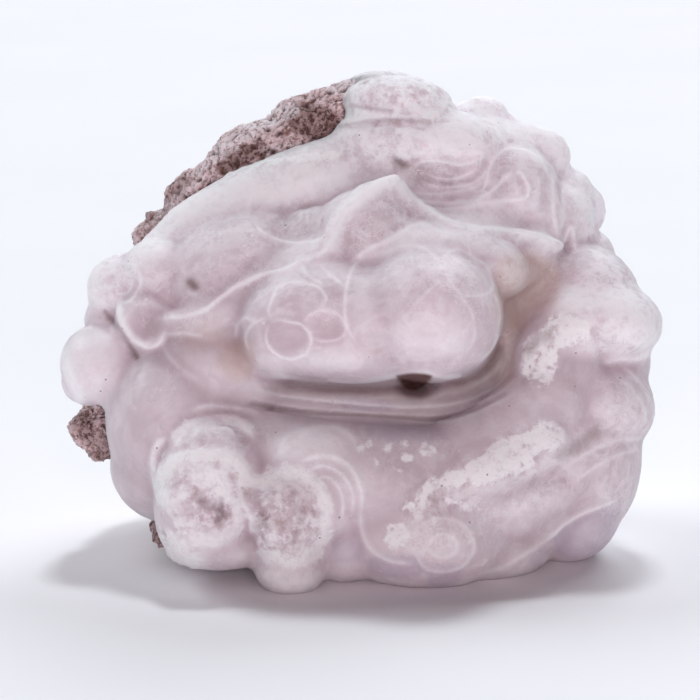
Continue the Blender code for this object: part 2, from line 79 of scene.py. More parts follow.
class Profile(Enum):
    """How a drawn line stands on the skin: the power in its cross section."""

    BLADE = 1.0
    CORD = 1.6
    SWELL = 2.0


CREST, CHALK, CLEAR, LILAC, TAN, STAIN_AND_SHADE, FROST, CRUMB = Channel
BLADE, CORD, SWELL = Profile


@dataclass(frozen=True)
class Drawing:
    """The front drawing and the eye that looks at it, in millimetres, and where the stone stands."""

    look_down: float = math.radians(12.0)
    distance: float = 400.0
    eye_x: float = -1.0
    eye_h: float = 25.0
    grid_step: float = 0.1
    grid_middle: float = 360.0
    grid_foot: float = 600.0
    width: float = 70.0
    past_stone: float = 60.0
    stands: tuple[float, float, float] = (-0.097, -6.349, -4.608)

    @property
    def away(self) -> np.ndarray:
        """The eye's direction of view in the stone's frame."""
        return np.array((0.0, math.cos(self.look_down), -math.sin(self.look_down)))

    def place(self, x: float, h: float, d: float) -> Vector:
        """The place in metres of a point seen at x, h on the drawing and d behind it.

        Args:
            x: millimetres to the right.
            h: millimetres up.
            d: millimetres back.

        Returns:
            The place in the stone's frame.
        """
        spread = 1.0 + d / self.distance
        across = self.eye_x + (x - self.eye_x) * spread
        up = self.eye_h + (h - self.eye_h) * spread
        sine, cosine = math.sin(self.look_down), math.cos(self.look_down)
        return Vector((across, up * sine + d * cosine, up * cosine - d * sine)) * MM

    def on_grid(self, places: np.ndarray) -> np.ndarray:
        """Where places are seen.

        Args:
            places: rows of x, y, z in metres.

        Returns:
            Rows of grid across, grid down and millimetres behind the drawing.
        """
        across, back, up = (places / MM).T
        sine, cosine = math.sin(self.look_down), math.cos(self.look_down)
        d = back * cosine - up * sine
        rise = back * sine + up * cosine
        spread = 1.0 + d / self.distance
        x = self.eye_x + (across - self.eye_x) / spread
        h = self.eye_h + (rise - self.eye_h) / spread
        return np.column_stack((*self.grid_point(x, h), d))

    def grid_point(self, x: float | np.ndarray, h: float | np.ndarray) -> tuple:
        """The grid's numbers of places on the drawing."""
        return self.grid_middle + x / self.grid_step, self.grid_foot - h / self.grid_step

    def eye(self) -> Vector:
        """The eye's place in metres."""
        return self.place(self.eye_x, self.eye_h, 0.0) - Vector(self.away) * self.distance * MM

    def depth_at(self, tree: BVHTree, across: float, down: float) -> float | None:
        """How far behind the drawing the skin lies at a grid point, or None past its outline.

        Args:
            tree: the skin's faces.
            across: the point's number across.
            down: the point's number down.

        Returns:
            Millimetres, or None.
        """
        x = (across - self.grid_middle) * self.grid_step
        h = (self.grid_foot - down) * self.grid_step
        near, far = self.place(x, h, -self.past_stone), self.place(x, h, self.past_stone)
        hit = tree.ray_cast(near, (far - near).normalized())[0]
        return None if hit is None else float(self.on_grid(np.array([hit]))[0, 2])


@dataclass(frozen=True)
class Lobe:
    """An ellipsoid: centre, half sizes and lean in degrees on the drawing."""

    x: float
    h: float
    d: float
    wide: float
    high: float
    deep: float
    lean: float = 0.0


@dataclass(frozen=True)
class Bead:
    """One ball of a roll."""

    x: float
    h: float
    d: float
    r: float


@dataclass(frozen=True)
class Hollow:
    """A rounded dent: centre, half sizes, depth and lean, in millimetres on the drawing."""

    x: float
    h: float
    wide: float
    high: float
    depth: float
    lean: float = 0.0


@dataclass(frozen=True)
class Line:
    """A line on the grid that stands on the skin or is sunk into it, and may be paler or darker.

    Attributes:
        path: grid points.
        wide: half width in millimetres.
        high: height in millimetres, below zero for a crease.
        crest: how pale its top is.
        profile: its cross section.
        step: height of the skin to the left of the path over the skin to its right.
    """

    path: Path
    wide: float
    high: float
    crest: float
    profile: Profile = CORD
    step: float = 0.0


@dataclass(frozen=True)
class Mark:
    """A wash of one channel inside an outline, or along a path when wide is given.

    Attributes:
        channel: what is laid on.
        path: grid points, an outline when wide is zero.
        strength: how much of it.
        soft: grid steps over which its edge fades.
        wide: half width in grid steps of a mark along the path.
        broken: how much noise breaks it up, from 0 to 1.
    """

    channel: Channel
    path: Path
    strength: float = 1.0
    soft: float = 6.0
    wide: float = 0.0
    broken: float = 0.0


def track(*numbers: float) -> Path:
    """Grid points from their numbers, across and down in turn."""
    return tuple(zip(numbers[::2], numbers[1::2]))


def curve_through(path: Sequence[Sequence[float]], spacing: float) -> np.ndarray:
    """Points along a Catmull-Rom curve.

    Args:
        path: the points that it passes through.
        spacing: about how far apart the made points are.

    Returns:
        One row for each point.
    """
    given = [np.array(point, float) for point in path]
    ends = [2 * given[0] - given[1], *given, 2 * given[-1] - given[-2]]
    made = []
    for before, start, end, after in zip(ends, ends[1:], ends[2:], ends[3:]):
        for t in np.arange(0.0, 1.0, spacing / max(float(np.linalg.norm(end - start)), spacing)):
            made.append(0.5 * (2 * start + (end - before) * t
                               + (2 * before - 5 * start + 4 * end - after) * t ** 2
                               + (3 * start - before - 3 * end + after) * t ** 3))
    return np.array([*made, given[-1]])


def to_path(points: np.ndarray, path: np.ndarray) -> tuple[np.ndarray, np.ndarray, np.ndarray]:
    """How points lie against a path.

    Args:
        points: rows of two.
        path: rows of two, joined by straight runs.

    Returns:
        For each point its gap to the path, how far along the path it is nearest, counted in runs, and its
        side, 1 to the left of the path as drawn and -1 to the right.
    """
    gap = np.full(len(points), np.inf)
    along = np.zeros(len(points))
    side = np.ones(len(points))
    for index, (start, end) in enumerate(zip(path, path[1:])):
        run = end - start
        offset = points - start
        t = np.clip(offset @ run / max(run @ run, 1e-9), 0.0, 1.0)
        here = np.linalg.norm(offset - t[:, None] * run, axis=1)
        nearer = here < gap
        gap[nearer] = here[nearer]
        along[nearer] = index + t[nearer]
        cross = run[1] * offset[:, 0] - run[0] * offset[:, 1]
        side[nearer] = np.where(cross[nearer] >= 0.0, 1.0, -1.0)
    return gap, along, side


def inside(points: np.ndarray, outline: np.ndarray) -> np.ndarray:
    """Whether each point lies inside a closed outline.

    Args:
        points: rows of two.
        outline: rows of two, the corners in turn.

    Returns:
        True or False for each point.
    """
    within = np.zeros(len(points), bool)
    for start, end in zip(outline, np.roll(outline, -1, axis=0)):
        spans = (start[1] > points[:, 1]) != (end[1] > points[:, 1])
        rise = end[1] - start[1]
        reach = start[0] + (end[0] - start[0]) * (points[:, 1] - start[1]) / (rise if rise else 1e-9)
        within ^= spans & (points[:, 0] < reach)
    return within


def ramp(values: np.ndarray, low: float, high: float) -> np.ndarray:
    """A smooth step from 0 at low to 1 at high."""
    t = np.clip((values - low) / (high - low), 0.0, 1.0)
    return t * t * (3.0 - 2.0 * t)


def noise_over(places: np.ndarray, size: float, octaves: int = 3, seed: float = 0.0) -> np.ndarray:
    """Smooth noise at places in millimetres, about -1 to 1, with lumps of the given size."""
    shift = Vector((seed, 1.7 * seed, -seed))
    return np.array([noise.fractal(Vector(place) / size + shift, 0.9, 2.1, octaves) for place in places])


@dataclass
class Skin:
    """One surface under construction, kept as a Blender object at the origin."""

    obj: bpy.types.Object
    drawing: Drawing

    PLAINLY_SEEN = 0.3
    HOLLOW_REACH = 5.0
    LINE_REACH = 3.5
    LEDGE_REACH = 8.0
    LINE_DEPTH = 1.2
    PALE_WIDTH = 1.25
    PALE_GAIN = 1.35
    BROKEN_SIZE = 0.9

    @classmethod
    def of_balls(cls, name: str, bm: bmesh.types.BMesh, drawing: Drawing) -> Skin:
        """A skin that holds the bmesh, which is freed.

        Args:
            name: the name of its object.
            bm: what it is made of.
            drawing: the drawing it follows.

        Returns:
            The skin.
        """
        mesh = bpy.data.meshes.new(name)
        bm.to_mesh(mesh)
        bm.free()
        obj = bpy.data.objects.new(name, mesh)
        bpy.context.scene.collection.objects.link(obj)
        return cls(obj, drawing)

    @property
    def mesh(self) -> bpy.types.Mesh:
        """The skin's mesh."""
        return self.obj.data

    def rows(self, what: Iterable, attribute: str) -> np.ndarray:
        """The vertices' places or normals, one row each.

        Args:
            what: the mesh's list of them.
            attribute: the name of the three numbers in it.

        Returns:
            Rows of three.
        """
        values = np.empty(len(what) * 3, np.float32)
        what.foreach_get(attribute, values)
        return values.reshape(-1, 3).astype(np.float64)

    @property
    def places(self) -> np.ndarray:
        """The vertices' places in metres."""
        return self.rows(self.mesh.vertices, "co")

    @property
    def normals(self) -> np.ndarray:
        """The vertices' normals."""
        return self.rows(self.mesh.vertex_normals, "vector")

    def move_to(self, places: np.ndarray) -> None:
        """Puts the vertices at new places in metres."""
        self.mesh.vertices.foreach_set("co", places.astype(np.float32).ravel())
        self.mesh.update()

    def tree(self) -> BVHTree:
        """A search tree of the skin's faces."""
        return BVHTree.FromObject(self.obj, bpy.context.evaluated_depsgraph_get())

    def settle(self) -> None:
        """Replaces the mesh by its evaluated one and drops the modifiers."""
        graph = bpy.context.evaluated_depsgraph_get()
        made = bpy.data.meshes.new_from_object(self.obj.evaluated_get(graph))
        self.obj.modifiers.clear()
        old, self.obj.data = self.obj.data, made
        name = old.name
        bpy.data.meshes.remove(old)
        made.name = name

    def fuse(self, voxel: float, smoothing: int) -> None:
        """Fuses overlapping balls into one skin and softens it.

        Args:
            voxel: the cell size in millimetres.
            smoothing: how many smoothing passes follow.
        """
        grown = self.obj.modifiers.new("skin", "REMESH")
        grown.mode = "VOXEL"
        grown.voxel_size = voxel * MM
        soften = self.obj.modifiers.new("soften", "SMOOTH")
        soften.factor = 0.5
        soften.iterations = smoothing
        self.settle()

    def keep_largest(self) -> None:
        """Drops every shell but the one with the most vertices."""
        pairs = self.pairs()
        label = np.arange(len(self.mesh.vertices))
        while True:
            low = np.minimum(label[pairs[:, 0]], label[pairs[:, 1]])
            fresh = label.copy()
            np.minimum.at(fresh, pairs[:, 0], low)
            np.minimum.at(fresh, pairs[:, 1], low)
            fresh = fresh[fresh]
            if np.array_equal(fresh, label):
                break
            label = fresh
        names, counts = np.unique(label, return_counts=True)
        if len(names) == 1:
            return
        spare = set(np.flatnonzero(label != names[counts.argmax()]).tolist())
        bm = bmesh.new()
        bm.from_mesh(self.mesh)
        bmesh.ops.delete(bm, geom=[vert for vert in bm.verts if vert.index in spare], context="VERTS")
        bm.to_mesh(self.mesh)
        bm.free()

    def pairs(self) -> np.ndarray:
        """The two vertices of every edge, one row each."""
        values = np.empty(len(self.mesh.edges) * 2, np.int32)
        self.mesh.edges.foreach_get("vertices", values)
        return values.reshape(-1, 2)

    def smoothed(self, values: np.ndarray, passes: int) -> np.ndarray:
        """Values at the vertices, averaged with their neighbours' a number of times.

        Args:
            values: one row or number for each vertex.
            passes: how many times.

        Returns:
            The averaged values, in the same form.
        """
        pairs = self.pairs()
        count = len(self.mesh.vertices)
        links = np.maximum(np.bincount(pairs.ravel(), minlength=count), 1)
        columns = values.reshape(count, -1).copy()
        for _ in range(passes):
            for column in range(columns.shape[1]):
                held = columns[:, column]
                total = (np.bincount(pairs[:, 0], held[pairs[:, 1]], count)
                         + np.bincount(pairs[:, 1], held[pairs[:, 0]], count))
                columns[:, column] = 0.5 * held + 0.5 * total / links
        return columns.reshape(values.shape)

    def bulge(self, passes: int) -> np.ndarray:
        """How far each vertex stands over the smoothed skin, in millimetres."""
        places = self.places
        return np.einsum("ij,ij->i", places - self.smoothed(places, passes), self.normals) / MM

    def ease(self, passes: int, fill: float, shave: float) -> None:
        """Fills valleys and lowers ridges towards the smoothed skin.

        Args:
            passes: how broad the smoothing is.
            fill: the share of each hollow's depth that is filled.
            shave: the share of each ridge's height that is taken off.
        """
        bulge = self.bulge(passes)
        move = np.where(bulge < 0.0, -fill * bulge, -shave * bulge)
        self.move_to(self.places + self.normals * move[:, None] * MM)

    def lit_by_eye(self) -> np.ndarray:
        """How plainly the eye sees each vertex, from 0 to 1."""
        tree = self.tree()
        eye = self.drawing.eye()
        places, normals = self.places, self.normals
        ways = np.array(eye) - places
        ways /= np.linalg.norm(ways, axis=1)[:, None]
        faces_eye = np.einsum("ij,ij->i", ways, normals)
        starts = places + normals * 0.05 * MM + ways * 0.15 * MM
        seen = np.zeros(len(places))
        for index in np.flatnonzero(faces_eye > -0.1):
            if tree.ray_cast(Vector(starts[index]), Vector(ways[index]))[0] is None:
                seen[index] = 1.0
        return self.smoothed(seen, 2)

    def dent(self, hollows: Iterable[Hollow]) -> None:
        """Presses hollows into the skin, away from the eye.

        Args:
            hollows: what is pressed in.
        """
        tree = self.tree()
        view = self.drawing
        places = self.places
        grid = view.on_grid(places)
        for hollow in hollows:
            lean = math.radians(hollow.lean)
            across = (grid[:, 0] - view.grid_middle) * view.grid_step - hollow.x
            up = (view.grid_foot - grid[:, 1]) * view.grid_step - hollow.h
            u = (across * math.cos(lean) + up * math.sin(lean)) / hollow.wide
            v = (up * math.cos(lean) - across * math.sin(lean)) / hollow.high
            d = view.depth_at(tree, *view.grid_point(hollow.x, hollow.h))
            near = np.clip(1.5 - abs(grid[:, 2] - d) / self.HOLLOW_REACH, 0.0, 1.0)
            sink = hollow.depth * near * np.clip(1.0 - u ** 2 - v ** 2, 0.0, 1.0) ** 1.2
            places += np.outer(sink * MM, view.away)
        self.move_to(places)

    def refine(self, lines: Iterable[Line], reach: float, shortest: float) -> None:
        """Splits the seen edges beside lines, so that the lines can be drawn finely.

        Args:
            lines: what will be drawn.
            reach: how far from a line edges are split, in grid steps.
            shortest: the length in millimetres under which an edge is left whole.
        """
        grid = self.drawing.on_grid(self.places)[:, :2]
        seen = self.lit_by_eye() > self.PLAINLY_SEEN
        close = np.zeros(len(grid), bool)
        for line in lines:
            path = curve_through(line.path, 8.0)
            low, high = path.min(axis=0) - reach, path.max(axis=0) + reach
            near = np.flatnonzero(seen & ((grid > low) & (grid < high)).all(axis=1))
            if len(near):
                close[near[to_path(grid[near], path)[0] < reach]] = True
        bm = bmesh.new()
        bm.from_mesh(self.mesh)
        edges = [edge for edge in bm.edges if close[edge.verts[0].index] and close[edge.verts[1].index]
                 and edge.calc_length() > shortest * MM]
        bmesh.ops.subdivide_edges(bm, edges=edges, cuts=1, use_grid_fill=True)
        bmesh.ops.triangulate(bm, faces=bm.faces)
        bm.to_mesh(self.mesh)
        bm.free()
        self.mesh.update()
        self.move_to(self.smoothed(self.places, 1))

    def draw(self, lines: Iterable[Line]) -> np.ndarray:
        """Raises or sinks lines on the skin.

        Args:
            lines: what is drawn.

        Returns:
            How pale each vertex is from the lines' crests.
        """
        tree = self.tree()
        view = self.drawing
        places, normals = self.places, self.normals
        grid = view.on_grid(places)
        swell = np.zeros(len(places))
        press = np.zeros(len(places))
        pale = np.zeros(len(places))
        for line in lines:
            path = curve_through(line.path, 3.0)
            depths = [view.depth_at(tree, *point) for point in path]
            known = [d for d in depths if d is not None]
            if not known:
                continue
            depths = np.array([known[0] if d is None else d for d in depths])
            wide = line.wide / view.grid_step
            reach = self.LINE_REACH * wide + (self.LEDGE_REACH * wide if line.step else 0.0)
            low, high = path.min(axis=0) - reach, path.max(axis=0) + reach
            close = np.flatnonzero(((grid[:, :2] > low) & (grid[:, :2] < high)).all(axis=1))
            if not len(close):
                continue
            gap, along, side = to_path(grid[close, :2], path)
            depth = np.interp(along, np.arange(len(path)), depths)
            level = np.clip(2.0 - abs(grid[close, 2] - depth) / self.LINE_DEPTH, 0.0, 1.0)
            share = along / (len(path) - 1)
            fade = np.clip(7.0 * np.minimum(share, 1.0 - share) + 0.15, 0.0, 1.0)
            rise = np.exp(-(gap / wide) ** line.profile.value) * level * fade
            if line.high < 0.0:
                press[close] -= line.high * rise
            else:
                swell[close] += line.high * rise
            if line.step:
                ledge = side * np.exp(-gap / (3.0 * wide)) * ramp(gap, 0.0, 0.6 * wide)
                swell[close] += 0.5 * line.step * ledge * level * fade
            glow = self.PALE_GAIN * line.crest * np.exp(-((gap / (self.PALE_WIDTH * wide)) ** 2))
            pale[close] = np.maximum(pale[close], np.clip(glow * level * fade, 0.0, 1.0))
        self.move_to(places + (normals * swell[:, None] + view.away * press[:, None]) * MM)
        return pale

    def wash(self, marks: Iterable[Mark], seen: np.ndarray) -> dict[Channel, np.ndarray]:
        """Lays marks on the skin that the eye sees.

        Args:
            marks: what is laid on.
            seen: how plainly the eye sees each vertex.

        Returns:
            The strength of each channel at each vertex.
        """
        places = self.places
        grid = self.drawing.on_grid(places)[:, :2]
        laid = {channel: np.zeros(len(grid)) for channel in Channel}
        shown = np.flatnonzero(seen > 0.01)
        for number, mark in enumerate(marks):
            path = curve_through(mark.path if mark.wide else (*mark.path, mark.path[0]), 4.0)
            reach = 2.0 * mark.wide + mark.soft
            low, high = path.min(axis=0) - reach, path.max(axis=0) + reach
            spots = grid[shown]
            close = shown[((spots > low) & (spots < high)).all(axis=1)]
            if not len(close):
                continue
            gap = to_path(grid[close], path)[0]
            if mark.wide:
                amount = np.exp(-(gap / mark.wide) ** 2)
            else:
                depth = np.where(inside(grid[close], path), gap, -gap)
                amount = ramp(depth, -0.5 * mark.soft, 0.5 * mark.soft)
            if mark.broken:
                rough = noise_over(places[close] / MM, self.BROKEN_SIZE, 3, 3.0 * number)
                amount = amount * ramp(rough + 1.2 * (amount - 0.5), mark.broken - 0.9, mark.broken - 0.3)
            value = amount * mark.strength * seen[close]
            held = laid[mark.channel][close]
            laid[mark.channel][close] = held + value - held * value
        return laid

    def hold(self, name: str, values: np.ndarray) -> None:
        """Keeps one number for each vertex under a name that the finish reads."""
        made = self.mesh.attributes.new(name, "FLOAT", "POINT")
        made.data.foreach_set("value", np.clip(values, 0.0, 1.0).astype(np.float32))

    def thin_out(self, triangles: int, keep: np.ndarray) -> None:
        """Simplifies the skin.

        Args:
            triangles: about how many are left.
            keep: how much each vertex is to be kept, from 0 to 1.
        """
        self.mesh.calc_loop_triangles()
        fewer = self.obj.modifiers.new("fewer", "DECIMATE")
        fewer.ratio = min(1.0, triangles / len(self.mesh.loop_triangles))
        group = self.obj.vertex_groups.new(name="keep")
        for level in range(1, 11):
            group.add(np.flatnonzero(np.round(keep * 10) == level).tolist(), level / 10, "REPLACE")
        fewer.vertex_group = "keep"
        fewer.vertex_group_factor = 4.0
        fewer.invert_vertex_group = True
        self.settle()
        self.obj.vertex_groups.clear()

    def cut(self, tool: Skin) -> None:
        """Cuts another skin's volume out of this one.

        Args:
            tool: the skin that is cut out.
        """
        cut = self.obj.modifiers.new("bed", "BOOLEAN")
        cut.operation = "DIFFERENCE"
        cut.solver = "EXACT"
        cut.object = tool.obj
        self.settle()
        self.keep_largest()

    def rest(self) -> None:
        """Moves the skin to where the stone stands and levels what would reach below the ground."""
        places = self.places + np.array(self.drawing.stands) * MM
        places[:, 2] = np.maximum(places[:, 2], 0.0)
        self.move_to(places)
        self.mesh.shade_smooth()


@dataclass
class BallYard:
    """Makes balls and rolls on the drawing."""

    drawing: Drawing
    balls_per_radius: float = 2.5
    moulds: dict[int, bpy.types.Mesh] = field(default_factory=dict)

    def mould(self, detail: int) -> bpy.types.Mesh:
        """A ball of radius 1, made once for each number of subdivisions."""
        if detail not in self.moulds:
            bm = bmesh.new()
            bmesh.ops.create_icosphere(bm, subdivisions=detail, radius=1.0)
            self.moulds[detail] = bpy.data.meshes.new(f"mould_{detail}")
            bm.to_mesh(self.moulds[detail])
            bm.free()
        return self.moulds[detail]

    def ball(self, bm: bmesh.types.BMesh, centre: Vector, sizes: Sequence[float], lean: float = 0.0,
             detail: int = 4) -> None:
        """Adds an ellipsoid whose axes follow the drawing.

        Args:
            bm: the bmesh that it is added to.
            centre: its place in metres.
            sizes: half width, height and depth in millimetres.
            lean: degrees that it leans on the drawing.
            detail: subdivisions of its mould.
        """
        look, tilt = self.drawing.look_down, math.radians(lean)
        turn = Matrix.Rotation(-look, 4, "X") @ Matrix.Rotation(-tilt, 4, "Y")
        wide, high, deep = (size * MM for size in sizes)
        made = self.mould(detail).copy()
        made.transform(Matrix.Translation(centre) @ turn @ Matrix.Diagonal((wide, deep, high, 1.0)))
        bm.from_mesh(made)
        bpy.data.meshes.remove(made)

    def lobe(self, bm: bmesh.types.BMesh, lobe: Lobe, swell: float = 0.0) -> None:
        """Adds a lobe, fatter by swell millimetres.

        Args:
            bm: the bmesh that it is added to.
            lobe: its measures.
            swell: how much fatter it is.
        """
        sizes = [size + swell for size in (lobe.wide, lobe.high, lobe.deep)]
        detail = 5 if lobe.wide > 10 else 4
        self.ball(bm, self.drawing.place(lobe.x, lobe.h, lobe.d), sizes, lobe.lean, detail)

    def roll(self, bm: bmesh.types.BMesh, beads: Sequence[Bead], swell: float = 0.0) -> None:
        """Adds a round-ended tube through beads, fatter by swell millimetres.

        Args:
            bm: the bmesh that it is added to.
            beads: the balls that it passes through.
            swell: how much fatter it is.
        """
        for first, second in zip(beads, beads[1:]):
            a = np.array((first.x, first.h, first.d, first.r + swell))
            b = np.array((second.x, second.h, second.d, second.r + swell))
            steps = max(1, math.ceil(self.balls_per_radius * np.linalg.norm((b - a)[:3]) / min(a[3], b[3])))
            for step in range(steps + 1):
                x, h, d, r = a + (b - a) * step / steps
                self.ball(bm, self.drawing.place(x, h, d), (r, r, r), detail=3)

    def clear(self) -> None:
        """Removes the moulds."""
        for mesh in self.moulds.values():
            bpy.data.meshes.remove(mesh)
        self.moulds.clear()


@dataclass
class Chalcedony:
    """The lobed stone: its lobes and rolls, the small lumps of its back, its lines and its colours."""

    drawing: Drawing
    yard: BallYard
    voxel: float = 0.26
    smoothing: int = 6
    coarse_triangles: int = 150000
    back_lumps: int = 170
    back_lump_small: float = 2.0
    back_lump_large: float = 3.7
    back_lump_sunk: float = 0.55
    bed_gap: float = 0.45
    keep_back: float = 0.4
    keep_front: float = 0.5
    split_reach: float = 2.8
    split_shortest: float = 0.19
    wave: float = 0.05
    grain: float = 0.16
    wrinkle: float = 0.22
    crumb: float = 0.42
    slot: str = "chalcedony"

    LOBES = (
        Lobe(0, 27, 5, 23, 18, 16),
        Lobe(7, 37.5, 3, 14, 10.5, 13, -14),
        Lobe(4, 28, 8, 20, 19, 13),
        Lobe(3.8, 49.7, -2.0, 5.6, 2.7, 6.2, -3),
        Lobe(2.6, 50.6, 3, 4.6, 2.4, 5, -4),
        Lobe(6.0, 45.5, -3.0, 8.8, 4.2, 6.5, -5),
        Lobe(13.4, 44.9, 3, 6.4, 3.5, 8, -20),
        Lobe(9, 40.5, -1, 8, 5, 6.5),
        Lobe(15.4, 41.2, -2.0, 4.4, 4.4, 6.0),
        Lobe(17.4, 43.1, 3, 3.8, 3.2, 5, -34),
        Lobe(16.6, 45.7, 2.6, 3.0, 2.1, 4.4, -28),
        Lobe(21.0, 40.2, 4.0, 2.4, 3.0, 4.4, -20),
        Lobe(19.1, 41.0, 4, 3.2, 3.0, 5),
        Lobe(20.0, 37.6, 1.5, 3.7, 4.4, 6.0),
        Lobe(20.0, 35.6, 4, 3.7, 2.8, 5),
        Lobe(0.8, 36.4, -8.5, 5.4, 4.8, 6.3),
        Lobe(10, 34.0, -7.2, 8.0, 3.6, 6.4, -10),
        Lobe(6.9, 28.6, -12.5, 7.3, 6.7, 9),
        Lobe(7.0, 35.0, -10.8, 8.0, 2.8, 4.6, -4),
        Lobe(13.0, 33.4, -9.6, 4.2, 3.0, 4.6, -20),
        Lobe(-4.5, 32.0, -11.2, 5.6, 2.2, 4.4, 14),
        Lobe(-5.0, 36.6, -7.5, 4.2, 2.6, 4.2, 20),
        Lobe(10.0, 29.5, -11.0, 4.2, 5.4, 7.0, 8),
        Lobe(-4.0, 28.2, -11.5, 8.0, 5.6, 7.4, 12),
        Lobe(1.4, 27.8, -11.6, 7.0, 5.8, 7.9),
        Lobe(-7.2, 26.4, -11.0, 4.6, 4.2, 6.6, 10),
        Lobe(-1.5, 25.2, -12.4, 9.0, 3.3, 6.4, -3),
        Lobe(-12.5, 33.2, -3.5, 9.5, 5.5, 8.6, 24),
        Lobe(-13.5, 28.8, -4.5, 7.5, 4.0, 8.3, 22),
        Lobe(-20.0, 32.5, -4.5, 4, 3.8, 5.5),
        Lobe(-23.6, 31.2, -2, 3.8, 3.6, 4.6, 20),
        Lobe(-24.0, 28.0, 0, 3.6, 3.2, 5),
        Lobe(-21.2, 27.9, -6.5, 3.3, 3.2, 4.8),
        Lobe(-25.9, 23.6, -4, 4.1, 4.0, 5.5, -20),
        Lobe(-27.0, 21.8, -2.5, 2.9, 2.4, 4.2),
        Lobe(-18.5, 17.3, -4.5, 6.8, 8.6, 10.0, 12),
        Lobe(-14.0, 23.0, -5.5, 7.5, 5.0, 7.2, -12),
        Lobe(-19.8, 12.6, -3.0, 5.4, 4.6, 8.0, -35),
        Lobe(-1, 11.5, -7, 15, 6.8, 11),
        Lobe(-15.3, 9.0, -11, 5.2, 5.8, 8.0),
        Lobe(-14.8, 12.4, -12.3, 5.4, 5.4, 6.4, -10),
        Lobe(-15.6, 9.9, -14.0, 4.4, 4.4, 6),
        Lobe(-7.2, 8.3, -14.6, 3.8, 4.4, 6),
        Lobe(-11.3, 9.6, -13.6, 3.0, 2.6, 5),
        Lobe(-14, 5.0, -11, 5.2, 2.0, 5),
        Lobe(-7.0, 3.2, -13, 3.5, 2.9, 4.4),
        Lobe(-4.6, 14.2, -14.0, 5.2, 3.2, 3.8, -8),
        Lobe(-3.0, 10.2, -13.8, 4.2, 4.6, 4.4),
        Lobe(6.0, 6.6, -10.4, 8.8, 5.5, 7.4, -4),
        Lobe(-1.5, 5.6, -9.5, 4.5, 3.8, 6.5),
        Lobe(8.0, 6.2, -11.6, 5.6, 4.2, 6.2),
        Lobe(13, 4.8, -6.0, 6.4, 3.2, 6.4, 8),
        Lobe(17, 8.4, -4.6, 6.0, 4.4, 7.0, 20),
        Lobe(21.2, 8.2, -2.0, 5.0, 4.3, 7.5, 30),
        Lobe(18.8, 14.6, -2.0, 9.4, 10.4, 9.6, 4),
        Lobe(23.6, 19.3, -2.2, 5.9, 5.2, 8.2),
        Lobe(19.5, 21.5, -3.0, 6.0, 6.0, 8),
        Lobe(24.4, 27.9, -2.5, 5.9, 4.2, 8.8, -8),
        Lobe(25.4, 23.6, -1.0, 3.7, 3.2, 6.0),
        Lobe(17.6, 30.0, -1.5, 5.0, 6.5, 6.0),
        Lobe(21.2, 27.2, -5.0, 4.8, 4.5, 6.6, 20),
        Lobe(18.4, 24.6, -7.4, 2.9, 5.2, 4.2, -22),
        Lobe(23.2, 30.8, 0, 5.2, 4.4, 8.4, -42),
        Lobe(8, 40, 12, 9, 7, 9, -10),
        Lobe(17, 27, 14, 8, 8, 8),
        Lobe(6, 27, 18, 7.5, 7, 6.5),
        Lobe(4, 15, 11, 17, 8.5, 10),
        Lobe(15, 14, 14, 7.5, 6.5, 8),
        Lobe(-7, 9.5, 9, 6, 4.5, 6),
        Lobe(12, 8.6, 9, 7, 4.5, 6),
    )
    ROLLS = (
        (Bead(9.4, 47.5, 3.0, 2.3), Bead(13.5, 46.6, 3.0, 2.4), Bead(17.0, 45.2, 3.0, 2.3)),
        (Bead(-20.0, 34.2, -2.5, 2.6), Bead(-16.5, 37.0, -3.0, 3.2), Bead(-11.0, 39.8, -4.0, 3.6),
         Bead(-5.0, 41.9, -4.0, 3.8), Bead(1.0, 44.0, -3.0, 3.6)),
        (Bead(-19.7, 28.2, -10.5, 0.5), Bead(-17.0, 28.8, -11.2, 0.6), Bead(-14.0, 30.2, -11.5, 0.65),
         Bead(-11.0, 32.0, -12.0, 0.7), Bead(-6.5, 33.4, -13.1, 0.8), Bead(-3.4, 35.2, -13.4, 1.0),
         Bead(-1.8, 38.0, -12.8, 1.3), Bead(0.6, 40.5, -11.8, 1.3)),
        (Bead(0.6, 40.5, -11.8, 1.3), Bead(3.4, 41.5, -10.8, 1.0), Bead(5.2, 40.0, -11.3, 0.7),
         Bead(8.0, 38.0, -11.9, 0.65), Bead(12.0, 36.9, -11.6, 0.6), Bead(16.5, 36.5, -9.8, 0.6),
         Bead(20.0, 35.4, -7.2, 0.7)),
        (Bead(-13.0, 29.6, -9.0, 3.0), Bead(-6.0, 32.4, -10.0, 3.6), Bead(1.0, 37.0, -8.6, 4.0),
         Bead(9.0, 35.6, -9.0, 3.2), Bead(16.5, 34.8, -6.0, 3.0)),
        (Bead(-15.0, 15.5, -9.0, 4.0), Bead(-8.0, 14.4, -11.5, 4.2), Bead(0.0, 13.2, -12.5, 4.3),
         Bead(8.0, 13.0, -12.0, 4.3), Bead(14.0, 15.4, -10.5, 4.6), Bead(18.5, 19.5, -8.0, 4.4)),
        (Bead(6.0, 9.8, -14.4, 2.4), Bead(11.5, 12.6, -14.0, 3.2), Bead(17.6, 15.8, -11.0, 3.4)),
        (Bead(9.5, 7.6, -13.0, 2.6), Bead(15.5, 9.2, -11.0, 3.0), Bead(21.0, 11.8, -8.0, 2.8)),
        (Bead(19.2, 35.4, -5.2, 1.2), Bead(18.8, 39.0, -4.9, 1.4), Bead(18.0, 42.0, -3.4, 1.5)),
        (Bead(20.9, 30.0, -5.0, 1.0), Bead(21.0, 33.0, -4.2, 1.2), Bead(21.2, 36.4, -2.5, 1.0)),
    )
